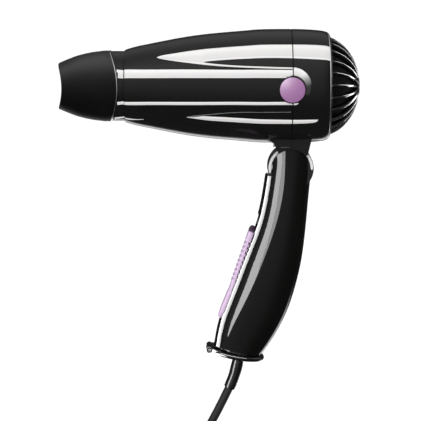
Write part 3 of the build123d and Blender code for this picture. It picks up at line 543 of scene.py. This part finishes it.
rows = []
for i in range(120):
    phi = 2 * math.pi * i / 120
    xf, xr = -135.0, -99.0
    for _ in range(6):
        xf = arc_x(-167.3, 34.8, nozzle_point(NOZ_OUT, xf, phi)[2] - AX)
        xr = arc_x(-147.2, 49.25, nozzle_point(NOZ_OUT, xr, phi)[2] - AX)
    xr -= 0.15
    row = []
    for k in range(41):                                    # outer wall, front to rear
        t = k / 40
        x = (xf + 0.8) + (xr - 0.5 - xf - 0.8) * t
        p = nozzle_point(NOZ_OUT, x, phi)
        bead = 0.0
        if t > 0.93:                                       # a shallow step before the rear lip
            bead = -0.18 * ease(min(1, (t - 0.93) / 0.02)) * (1 - ease(min(1, max(0, (t - 0.965) / 0.02))))
        f = 1 + bead / 21.0
        row.append((p[0], p[1] * f, AX + (p[2] - AX) * f))
    po, pi_ = nozzle_point(NOZ_OUT, xr - 0.5, phi), nozzle_point(NOZ_IN, xr - 0.5, phi)
    for k in range(1, 6):                                  # rear lip
        u = math.pi * k / 6
        m = (1 - math.cos(u)) / 2
        row.append((xr - 0.5 + 0.5 * math.sin(u), po[1] + (pi_[1] - po[1]) * m, po[2] + (pi_[2] - po[2]) * m))
    for k in range(31):                                    # inner wall, rear to front
        t = k / 30
        x = (xr - 0.5) + (xf + 0.8 - xr + 0.5) * t
        row.append(nozzle_point(NOZ_IN, x, phi))
    po, pi_ = nozzle_point(NOZ_OUT, xf + 0.8, phi), nozzle_point(NOZ_IN, xf + 0.8, phi)
    for k in range(1, 8):                                  # front lip
        u = math.pi * k / 8
        m = (1 - math.cos(u)) / 2
        row.append((xf + 0.8 - 0.8 * math.sin(u), pi_[1] + (po[1] - pi_[1]) * m, pi_[2] + (po[2] - pi_[2]) * m))
    rows.append(row)
v, f = grid(rows, closed_v=True, closed_u=True)
make("nozzle_shell", v, f, nozzle_black, "nozzle", replaces=("nozzle",))
# painted highlight: a thin grey metal hairline just in front of the nozzle's rear lip, standing in for the reflection
# along that edge
rows = []
for i in range(180):
    phi = 2 * math.pi * i / 180
    xr = -99.0
    for _ in range(6):
        xr = arc_x(-147.2, 49.25, nozzle_point(NOZ_OUT, xr, phi)[2] - AX)
    xr -= 0.15
    row = []
    for dx, lift in ((-0.55, -0.08), (-0.50, 0.04), (-0.35, 0.05), (-0.14, 0.02), (-0.05, -0.08)):
        p = nozzle_point(NOZ_OUT, xr + dx, phi)
        g = 1 + lift / 21.9
        row.append((p[0], p[1] * g, AX + (p[2] - AX) * g))
    rows.append(row)
v, f = grid(rows, closed_v=True)
make("nozzle_edge_painted_highlight", v, f, silver_thin, "nozzle")


def revolve(profile, centre, axis, steps=96, closed=False):
    """Net of a profile of (along, radius) turned round an axis through centre, mm."""
    ax_ = Vector(axis).normalized()
    u = ax_.orthogonal().normalized()
    w = ax_.cross(u)
    c = Vector(centre)
    rows = []
    for i in range(steps):
        a = 2 * math.pi * i / steps
        d = u * math.cos(a) + w * math.sin(a)
        rows.append([tuple(c + ax_ * t + d * r) for t, r in profile])
    return grid(rows, closed_v=True, closed_u=closed)


# ------------------------------------------------------------------ inlet dome: curved ribs, nose, seat and mesh
verts, faces = [], []


def join_net(v, f):
    base = len(verts)
    verts.extend(v)
    faces.extend(tuple(base + k for k in q) for q in f)


ribs = 24
for i in range(ribs):
    phi = math.radians(4.3 + 360 / ribs * i)
    radial = Vector((0, -math.cos(phi), math.sin(phi)))
    lateral = Vector((0, math.sin(phi), math.cos(phi)))
    rows = []
    for k in range(27):
        tau = math.radians(82.5 + (6.8 - 82.5) * k / 26)
        po = Vector((26.7 + 24.15 * math.cos(tau), 0, 0)) + radial * 30.95 * math.sin(tau)
        pi_ = Vector((26.7 + 20.8 * math.cos(tau), 0, 0)) + radial * 27.6 * math.sin(tau)
        up = (po - pi_)
        depth = up.length
        up.normalize()
        w = min(1.75, 0.8 * 2 * math.pi * 31 * math.sin(tau) / ribs) / 2
        ring = []
        for du, dw in ((0, -0.8), (depth - 1.3, -1.0), (depth - 0.55, -0.9), (depth - 0.15, -0.55), (depth, 0.0), (depth - 0.15, 0.55), (depth - 0.55, 0.9), (depth - 1.3, 1.0), (0, 0.8)):
            ring.append(tuple(pi_ + up * du + lateral * w * dw + Vector((0, 0, AX))))
        rows.append(ring)
    v, f = grid(rows, closed_u=True)
    f.append(tuple(range(9)))
    f.append(tuple(len(v) - 1 - q for q in range(9)))
    join_net(v, f)
v, f = revolve([(47.0, 0.01), (47.0, 3.4), (48.6, 4.6), (49.9, 4.5), (50.6, 3.5), (50.85, 1.8), (50.9, 0.01)], (0, 0, AX), (1, 0, 0), 64)
join_net(v, f)
v, f = revolve([(29.7, 27.2), (29.7, 30.5), (31.4, 30.5), (32.0, 30.2), (32.2, 29.6), (32.2, 28.0), (31.9, 27.3), (31.2, 27.0)], (0, 0, AX), (1, 0, 0), 120, closed=True)
join_net(v, f)
make("inlet_grille", verts, faces, gloss_black, "barrel", replaces=("rear_grille",))
v, f = revolve([(31.55, 30.62), (31.55, 31.05), (31.8, 31.22), (32.1, 31.2), (32.25, 30.95), (32.25, 30.5), (31.9, 30.3)], (0, 0, AX), (1, 0, 0), 144, closed=True)
make("inlet_rim", v, f, gloss_black, "barrel")

rows = []
n_len, n_round = 26, 150
for k in range(n_len + 1):
    tau = math.radians(79 + (4.0 - 79) * k / n_len)
    rows.append([(26.7 + 19.7 * math.cos(tau), -26.5 * math.sin(tau) * math.cos(2 * math.pi * (q + 0.5 * (k % 2)) / n_round), AX + 26.5 * math.sin(tau) * math.sin(2 * math.pi * (q + 0.5 * (k % 2)) / n_round)) for q in range(n_round)])
v, f = grid(rows, closed_u=True)
f2 = []
for a, b, c, d in f:
    row_i = a // n_round
    if row_i % 2 == 0:
        f2 += [(a, b, d), (b, c, d)]
    else:
        f2 += [(a, b, c), (a, c, d)]
mesh_dome = make("inlet_mesh", v, f2, mesh_black, "barrel", replaces=("intake_filter",))
mod = mesh_dome.modifiers.new("wires", "WIREFRAME")
mod.thickness = 0.00030
mod.use_even_offset = False
mod.use_replace = True

# a foam filter sheet behind the mesh, painted near black: painted shade standing in for the dark inside of the dome
rows = []
for k in range(25):
    tau = math.radians(79 + (0.5 - 79) * k / 24)
    rows.append([(26.7 + 19.35 * math.cos(tau), -26.12 * math.sin(tau) * math.cos(2 * math.pi * q / 96), AX + 26.12 * math.sin(tau) * math.sin(2 * math.pi * q / 96)) for q in range(96)])
v, f = grid(rows, closed_u=True)
make("inlet_foam", v, f, foam_shade_black, "barrel")

# ------------------------------------------------------------------ side caps
prof = [(33.55, 0.01), (33.55, 7.3), (33.9, 7.62), (34.9, 7.66), (35.12, 7.6), (35.26, 7.42), (35.32, 7.15)]
prof += [(35.32 + 1.06 * (1 - (r / 7.15) ** 2), r) for r in (6.6, 6.0, 5.2, 4.4, 3.6, 2.8, 2.0, 1.2, 0.5, 0.01)]
for name, node, ydir in (("cap_near", "side_cap_near", -1), ("cap_far", "side_cap_far", 1)):
    v, f = revolve(prof, (7.8, 0, AX), (0, ydir, 0), 96)
    make(name, v, f, lilac_cap, "barrel", replaces=(node,))
    # dark seat round the cap
    v, f = revolve([(34.0, 7.7), (35.12, 7.72), (35.2, 7.85), (35.1, 8.0), (34.0, 8.0)], (7.8, 0, AX), (0, ydir, 0), 96, closed=True)
    make(name + "_seat", v, f, gloss_black, "barrel")

# ------------------------------------------------------------------ switch slider
T0 = Vector((-17.35, 0, 6.31))
TU = Vector((-0.3255, 0, -0.9455))
TN = Vector((-0.9455, 0, 0.3255))


def track(t, y, n):
    return tuple(T0 + TU * t + TN * n + Vector((0, y, 0)))


def slider_top(t, y):
    c, half, r = 28.2, 24.7, 1.5
    d = 6.5 - math.hypot(max(0.0, abs(t - c) - half), y)
    d = max(0.0, d)
    n = 0.0
    if d < r:
        n -= r - math.sqrt(max(0.0, r * r - (r - d) ** 2))
    if 5.5 < t < 34.0:                                     # grip ribs
        ph = ((t - 6.2) / 3.05) % 1.0
        inside = 1.0 if 6.2 <= t <= 6.2 + 3.05 * 9 else 0.0
        n -= 1.0 * inside * max(0.0, 1 - abs(ph - 0.5) / 0.26) ** 0.8
    s_ = max(0.0, 1 - ((t - 38.0) / 5.5) ** 2)
    n -= 0.45 * s_ * s_                                     # thumb saddle below the ribs
    if t > 42:
        n += 0.45 * ease(min(1.0, (t - 42) / 12))
    return n


rows, marks = [], []
ts = [-3.0 + 62.4 * (1 - math.cos(math.pi * k / 60)) / 2 for k in range(9)]
ts = [-3.0, -2.9, -2.7, -2.4, -2.0, -1.5, -0.9, -0.2, 0.6, 1.5, 2.5, 3.5, 4.5] + [5.5 + 0.2 * k for k in range(143)] + [34.5 + 1.0 * k for k in range(18)] + [52.4, 53.4, 54.4, 55.4, 56.2, 57.0, 57.7, 58.3, 58.8, 59.1, 59.3, 59.4]
for t in ts:
    hw = 6.5 if abs(t - 28.2) <= 24.7 else math.sqrt(max(0.0, 42.25 - (abs(t - 28.2) - 24.7) ** 2))
    hw = max(hw, 0.02)
    lean = 1.3 * min(1.0, max(0.0, (t - 4) / 2)) * min(1.0, max(0.0, (37 - t) / 3))
    row = [track(t, -hw, -3.65), track(t + lean, -hw, -2.3), track(t, -hw, slider_top(t, hw) - 0.5)]
    for k in range(25):
        fr = -1 + 2 * k / 24
        fr = math.copysign(1 - (1 - abs(fr)) ** 1.6, fr)
        row.append(track(t, fr * hw, slider_top(t, fr * hw)))
    row += [track(t, hw, slider_top(t, hw) - 0.5), track(t + lean, hw, -2.3), track(t, hw, -3.65)]
    rows.append(row)
v, f = grid(rows, closed_u=True)
def slider_face(q):
    k, j = min(q[0], q[2]) // 31, min(i % 31 for i in q)
    t = ts[k]
    # painted shade: the slider's rounded top end takes the dark plum
    if t < 0.4:
        return 1
    # painted shade: the flank faces at the grip ribs' grooves take a deep lilac
    if (j in (1, 28)) and 6.2 <= t <= 6.2 + 3.05 * 9 and abs(((t - 6.2) / 3.05) % 1.0 - 0.5) < 0.16:
        return 2
    return 0


fm_ = [slider_face(q) for q in f]
slider = make("slide_button", v, f, lilac, "slider", replaces=("switch_slider",), mats=[lilac, plum_painted_shade, lilac_groove_shade], face_mats=fm_)

# ------------------------------------------------------------------ hanging ring
EO = Vector((-24.08, 0, -69.56))
EX = Vector((0.9823, 0, -0.1878))
EZ = Vector((-0.1878, 0, -0.9823))


def end_point(x, y, d):
    return EO + EX * x + Vector((0, -y, 0)) + EZ * d


verts, faces = [], []
rows = []
open_a = math.asin(5.0 / 16.5)
for k in range(91):
    a = -math.pi + open_a + (2 * math.pi - 2 * open_a) * k / 90
    c = end_point(-0.8 + 16.5 * math.cos(a), 16.5 * math.sin(a), 3.1)
    out = (end_point(-0.8 + 17.5 * math.cos(a), 17.5 * math.sin(a), 3.1) - c).normalized()
    ring = []
    for q in range(16):
        b = 2 * math.pi * q / 16
        cx_, cz_ = math.cos(b), math.sin(b)
        ring.append(tuple(c + out * 1.55 * math.copysign(abs(cx_) ** 0.8, cx_) + EZ * 1.5 * math.copysign(abs(cz_) ** 0.8, cz_)))
    rows.append(ring)
v, f = grid(rows, closed_u=True)
f.append(tuple(range(16)))
f.append(tuple(len(v) - 1 - q for q in range(16)))
join_net(v, f)
for sgn in (-1, 1):
    c = end_point(-17.9, 0, 3.1)
    v, f = revolve([(5.0 * sgn, 0.85), (5.0 * sgn, 1.7), (5.25 * sgn, 1.95), (8.1 * sgn, 1.95), (8.35 * sgn, 1.7), (8.4 * sgn, 0.85)], c, (0, 1, 0), 48, closed=True)
    join_net(v, f)
make("hanger", verts, faces, gloss_black, "ring", replaces=("hang_ring",))

# ------------------------------------------------------------------ plug: moulded body with grips, sleeved pins
PLX, PLZ = -3.0, -206.5


def super_ring(cx_, z, a, b, power, n=72):
    out = []
    for k in range(n):
        t = 2 * math.pi * k / n
        c_, s_ = math.cos(t), math.sin(t)
        out.append((cx_ + a * math.copysign(abs(c_) ** (2 / power), c_), b * math.copysign(abs(s_) ** (2 / power), s_), z))
    return out


sections = [(0, 3.2, 3.2, 2), (0.4, 3.5, 3.5, 2)]
for k in range(8):                                         # relief with rings
    z = 1.0 + k * 1.3
    sections += [(z, 3.5 + 0.1 * k, 3.5 + 0.1 * k, 2), (z + 0.5, 3.9 + 0.12 * k, 3.9 + 0.12 * k, 2), (z + 0.85, 3.9 + 0.12 * k, 3.9 + 0.12 * k, 2), (z + 1.05, 3.5 + 0.1 * k, 3.5 + 0.1 * k, 2)]
sections += [(11.6, 7.5, 6.6, 2.1), (12.8, 10.4, 8.7, 2.2), (14.5, 13.2, 10.4, 2.3), (17, 15.4, 11.8, 2.45), (20, 16.5, 12.3, 2.6)]
z = 21.0
while z < 38:
    a_ = 16.6 + (17.5 - 16.6) * (z - 20) / 24
    b_ = 12.35 + (12.9 - 12.35) * (z - 20) / 24
    sections += [(z, a_, b_, 2.6), (z + 0.9, a_, b_, 2.6), (z + 1.15, a_ - 0.55, b_ - 0.45, 2.6), (z + 1.6, a_ - 0.55, b_ - 0.45, 2.6), (z + 1.85, a_, b_, 2.6)]
    z += 2.4
sections += [(39.5, 17.45, 12.9, 2.7), (42.8, 17.5, 12.95, 2.8), (43.5, 17.3, 12.75, 2.8), (43.9, 16.9, 12.3, 2.8), (44.0, 16.4, 11.8, 2.8), (44.0, 11.0, 7.5, 2.6), (43.7, 10.4, 7.0, 2.6), (43.7, 5, 3.5, 2.2), (43.7, 0.05, 0.05, 2)]
v, f = grid([super_ring(PLX, PLZ + d, a_, b_, p_) for d, a_, b_, p_ in sections], closed_u=True)
f.append(tuple(range(72)))
plug = make("plug_moulding", v, f, gloss_black, "handle", replaces=("plug_body",))
verts, faces, tags = [], [], []
for sx in (-9.5, 9.5):
    for prof, tag in (([(-1.0, 0.01), (-1.0, 2.4), (9.6, 2.4), (9.9, 2.25), (9.9, 1.9)], 0), ([(9.7, 1.9), (9.75, 2.25), (17.0, 2.25), (18.1, 1.9), (18.75, 1.2), (18.98, 0.4), (19.0, 0.01)], 1)):
        v, f = revolve(prof, (PLX + sx, 0, PLZ + 44), (0, 0, 1), 40)
        join_net(v, f)
        tags += [tag] * len(f)
pins = make("plug_prongs", verts, faces, gloss_black, "handle", replaces=("plug_pins",), mats=[gloss_black, nickel], face_mats=tags)

# ------------------------------------------------------------------ hook-and-loop tie round the hank and the plug
pts = []
for k in range(180):
    a = 2 * math.pi * k / 180
    pts.append((HX + 17.0 * math.cos(a), 11.4 * math.sin(a)))
    c_, s_ = math.cos(a), math.sin(a)
    pts.append((PLX + 17.1 * math.copysign(abs(c_) ** 0.8, c_), 12.9 * math.copysign(abs(s_) ** 0.8, s_)))
pts = sorted(set((round(x, 4), round(y, 4)) for x, y in pts))


def half_hull(seq):
    out = []
    for p in seq:
        while len(out) > 1 and (out[-1][0] - out[-2][0]) * (p[1] - out[-2][1]) - (out[-1][1] - out[-2][1]) * (p[0] - out[-2][0]) <= 0:
            out.pop()
        out.append(p)
    return out[:-1]


hull = half_hull(pts) + half_hull(pts[::-1])
loop = []
for k in range(len(hull)):
    p, q = Vector(hull[k]), Vector(hull[(k + 1) % len(hull)])
    m = max(1, int((q - p).length / 1.5))
    loop += [p.lerp(q, j / m) for j in range(m)]
rows = []
n = len(loop)
for k in range(n):
    p, q = loop[k - 1], loop[(k + 1) % n]
    t_ = (q - p).normalized()
    out = Vector((t_.y, -t_.x))
    c = loop[k]
    th = 1.1 + 0.5 * (1 if 0.27 < k / n < 0.40 else 0)
    ring = []
    for du, dz in ((0, -2.8), (0, 2.8), (th * 0.4, 3.0), (th, 2.75), (th, -2.75), (th * 0.4, -3.0)):
        ring.append((c.x + out.x * du, c.y + out.y * du, HZ + dz))
    rows.append(ring)
v, f = grid(rows, closed_v=True, closed_u=True)
tie = make("cord_tie", v, f, tie_black, "handle", replaces=("hank_tie",))

# ------------------------------------------------------------------ painted highlights: light grey crescents on the hinge drum's edges, standing in for the reflections on its gloss black
drum_painted_highlight = plastic("drum_highlight_grey", (0.72, 0.72, 0.715), 0.3, spec=0.5, vary=0.02)
for sgn, side in ((-1, "near"), (1, "far")):
    for tag, a0, a1 in (("front", 119, 193), ("rear", -4, 53)):
        rows = []
        for k in range(49):
            u = k / 48
            a = math.radians(a0 + (a1 - a0) * u)
            half = 0.80 * min(1.0, math.sqrt(max(0.0, 1 - (2 * u - 1) ** 6)) + 0.02)
            mid_r = 13.02
            row = []
            for f_, yy in ((-1, 8.7), (-1, 9.03), (-0.8, 9.06), (0, 9.07), (0.8, 9.06), (1, 9.03), (1, 8.7)):
                r = mid_r + half * f_
                row.append((PX + r * math.cos(a), sgn * yy, PZ + r * math.sin(a)))
            rows.append(row)
        v, f = grid(rows)
        make(f"drum_highlight_arc_{tag}_{side}", v, f, drum_painted_highlight, "barrel")

# painted highlight: a short dim metal strip on each side of the neck, standing in for the highlight along its lower
# bevel
for sgn, side in ((-1, "near"), (1, "far")):
    rows = []
    for k in range(25):
        u = k / 24
        x = 0.9 + 6.2 * u
        h = 0.34 * math.sqrt(max(0.0, 1 - (2 * u - 1) ** 4)) + 0.01
        rows.append([(x, sgn * yy, 59.2 + h * f_) for f_, yy in ((-1, 14.5), (-1, 14.73), (-0.5, 14.77), (0.5, 14.77), (1, 14.73), (1, 14.5))])
    v, f = grid(rows)
    make(f"neck_painted_highlight_{side}", v, f, neck_highlight_grey, "barrel")


# ------------------------------------------------------------------ floor, world and lights
fm = plastic("floor_pale", (0.955, 0.955, 0.955), 0.6, spec=0.1, grain=0.02, scale=60, vary=0.01)
me = bpy.data.meshes.new("floor")
bm = bmesh.new()
bmesh.ops.create_grid(bm, x_segments=24, y_segments=24, size=60.0)
bm.to_mesh(me)
bm.free()
floor = bpy.data.objects.new("floor", me)
floor.location = (0, 0, cad_box[0].z - 0.0005)
me.materials.append(fm)
scene.collection.objects.link(floor)
floor.visible_glossy = False

world = bpy.data.worlds.new("world")
scene.world = world
world.use_nodes = True
wn = world.node_tree
wn.nodes.clear()


def wmath(op, a, b=None, clamp=False):
    n = wn.nodes.new("ShaderNodeMath")
    n.operation = op
    n.use_clamp = clamp
    for k, v in enumerate((a, b)):
        if v is None:
            continue
        if isinstance(v, (int, float)):
            n.inputs[k].default_value = v
        else:
            wn.links.new(v, n.inputs[k])
    return n.outputs[0]


tcw = wn.nodes.new("ShaderNodeTexCoord")
sepw = wn.nodes.new("ShaderNodeSeparateXYZ")
wn.links.new(tcw.outputs["Generated"], sepw.inputs["Vector"])
WX, WY, WZ = sepw.outputs
AZ = wmath("MULTIPLY", wmath("ARCTAN2", WX, wmath("MULTIPLY", WY, -1.0)), 180 / math.pi)     # 0 on the camera's side, + to the right
EL = wmath("MULTIPLY", wmath("ARCSINE", WZ), 180 / math.pi)


def ramp(value, lo, hi):
    n = wn.nodes.new("ShaderNodeMapRange")
    n.interpolation_type = "SMOOTHSTEP"
    wn.links.new(value, n.inputs["Value"])
    n.inputs["From Min"].default_value = lo
    n.inputs["From Max"].default_value = hi
    return n.outputs["Result"]


def panel(az, el, strength, soft=(3.0, 8.0)):
    """A soft studio panel seen only in reflections: ranges of azimuth and elevation, degrees, and its radiance."""
    sa, se = soft
    a = wmath("MULTIPLY", ramp(AZ, az[0] - sa, az[0] + sa), wmath("SUBTRACT", 1.0, ramp(AZ, az[1] - sa, az[1] + sa)))
    e = wmath("MULTIPLY", ramp(EL, el[0] - se, el[0] + se), wmath("SUBTRACT", 1.0, ramp(EL, el[1] - se, el[1] + se)))
    return wmath("MULTIPLY", wmath("MULTIPLY", a, e), strength)


PANELS = [panel((85, 130), (0, 45), 0.8, (10, 10))]
# a low panel behind, for the lower outlines
PANELS.append(wmath("MULTIPLY", wmath("MULTIPLY", ramp(WY, 0.5, 0.65), wmath("MULTIPLY", ramp(WZ, -0.68, -0.60), wmath("SUBTRACT", 1.0, ramp(WZ, -0.42, -0.34)))), 2.4))
front = wmath("MULTIPLY", ramp(wmath("MULTIPLY", WY, -1.0), -0.2, 0.6), wmath("SUBTRACT", 1.0, wmath("MULTIPLY", ramp(WX, 0.0, 0.8), 0.85)))
glow = wmath("ADD", wmath("MULTIPLY", ramp(WZ, -0.75, 0.5), wmath("MULTIPLY", front, 1.5)), wmath("ADD", wmath("MULTIPLY", ramp(WZ, 0.3, 0.98), 1.0), 0.045))
for p in PANELS:
    glow = wmath("ADD", glow, p)
bg_gloss = wn.nodes.new("ShaderNodeBackground")
wn.links.new(glow, bg_gloss.inputs["Strength"])

key = wn.nodes.new("ShaderNodeVectorMath")
key.operation = "DOT_PRODUCT"
key.inputs[1].default_value = (-0.55, -0.45, 0.70)
wn.links.new(tcw.outputs["Generated"], key.inputs[0])
soft = wmath("ADD", wmath("MULTIPLY", ramp(key.outputs["Value"], -0.5, 0.95), 0.77), 0.64)
bg_soft = wn.nodes.new("ShaderNodeBackground")
wn.links.new(soft, bg_soft.inputs["Strength"])

bg_white = wn.nodes.new("ShaderNodeBackground")
bg_white.inputs["Color"].default_value = (1, 1, 1, 1)
bg_white.inputs["Strength"].default_value = 1.02
for n in (bg_gloss, bg_soft):
    n.inputs["Color"].default_value = (1, 1, 1, 1)
lp = wn.nodes.new("ShaderNodeLightPath")
m1 = wn.nodes.new("ShaderNodeMixShader")
wn.links.new(lp.outputs["Is Diffuse Ray"], m1.inputs["Fac"])
wn.links.new(bg_gloss.outputs["Background"], m1.inputs[1])
wn.links.new(bg_soft.outputs["Background"], m1.inputs[2])
m2 = wn.nodes.new("ShaderNodeMixShader")
wn.links.new(lp.outputs["Is Camera Ray"], m2.inputs["Fac"])
wn.links.new(m1.outputs["Shader"], m2.inputs[1])
wn.links.new(bg_white.outputs["Background"], m2.inputs[2])
wo = wn.nodes.new("ShaderNodeOutputWorld")
wn.links.new(m2.outputs["Shader"], wo.inputs["Surface"])


def area(name, at, target, size, power, glossy=True, diffuse=True):
    ld = bpy.data.lights.new(name, "AREA")
    ld.shape = "RECTANGLE"
    ld.size, ld.size_y = size
    ld.energy = power
    ob = bpy.data.objects.new(name, ld)
    scene.collection.objects.link(ob)
    ob.location = at
    ob.rotation_mode = "QUATERNION"
    ob.rotation_quaternion = (Vector(target) - Vector(at)).to_track_quat("-Z", "Y")
    ob.visible_glossy = glossy
    ob.visible_diffuse = diffuse
    ob.visible_camera = False
    return ob


area("soft_key", (-0.75, -0.85, 0.95), (-0.02, 0, 0.05), (0.9, 0.9), 1.5)


def strip(name, az, el, width_deg, height_deg, radiance, receivers, dist=1.5, centre=(-0.02, 0, 0.0), diffuse=False):
    """A softbox that lights only the gloss of some pieces. Azimuth from the camera's side, + to the right, degrees."""
    a, e = math.radians(az), math.radians(el)
    c = Vector(centre)
    at = c + Vector((math.sin(a) * math.cos(e), -math.cos(a) * math.cos(e), math.sin(e))) * dist
    w, h = 2 * dist * math.tan(math.radians(width_deg / 2)), 2 * dist * math.tan(math.radians(height_deg / 2))
    ob = area(name, at, c, (w, h), radiance * math.pi * w * h, diffuse=diffuse)
    coll = bpy.data.collections.new(name + "_on")
    for r in receivers:
        coll.objects.link(r)
    ob.light_linking.receiver_collection = coll
    return ob


strip("strip_front", -40, 0, 28, 100, 34.0, [NODES["handle_front_shell"]])
strip("strip_front_soft", -13, 0, 25, 100, 22.0, [NODES["handle_front_shell"]])
grips = [NODES["handle_front_shell"], NODES["handle_rear_shell"], NODES["end_cap"], bpy.data.objects["hanger"]]
strip("strip_side", -108, 0, 34, 100, 34.0, grips)
strip("strip_slide", -75, 12, 40, 50, 1.6, [bpy.data.objects["slide_button"]], diffuse=True)
strip("strip_dome", -34, 40, 44, 26, 62.0, [bpy.data.objects["inlet_grille"]], centre=(0.04, 0, AX * MM))
strip("strip_dome_back", 112, 10, 18, 90, 34.0, [bpy.data.objects["inlet_grille"]], centre=(0.04, 0, AX * MM))
strip("strip_cap", -34, 32, 40, 40, 30.0, [bpy.data.objects["cap_near"], bpy.data.objects["cap_far"]], centre=(0.008, 0, AX * MM))
strip("strip_relief", -50, 0, 16, 60, 26.0, [NODES["strain_relief"]])
strip("strip_end", -8, 34, 110, 15, 38.0, [bpy.data.objects["hanger"]])
strip("strip_end_low", -66, -20, 40, 30, 40.0, [NODES["end_cap"], bpy.data.objects["hanger"]])
strip("strip_nozzle", -60, 80, 60, 44, 11.0, [bpy.data.objects["nozzle_shell"]], centre=(-0.115, 0, AX * MM), diffuse=True)

scene.view_settings.view_transform = "Standard"
scene.view_settings.look = "None"
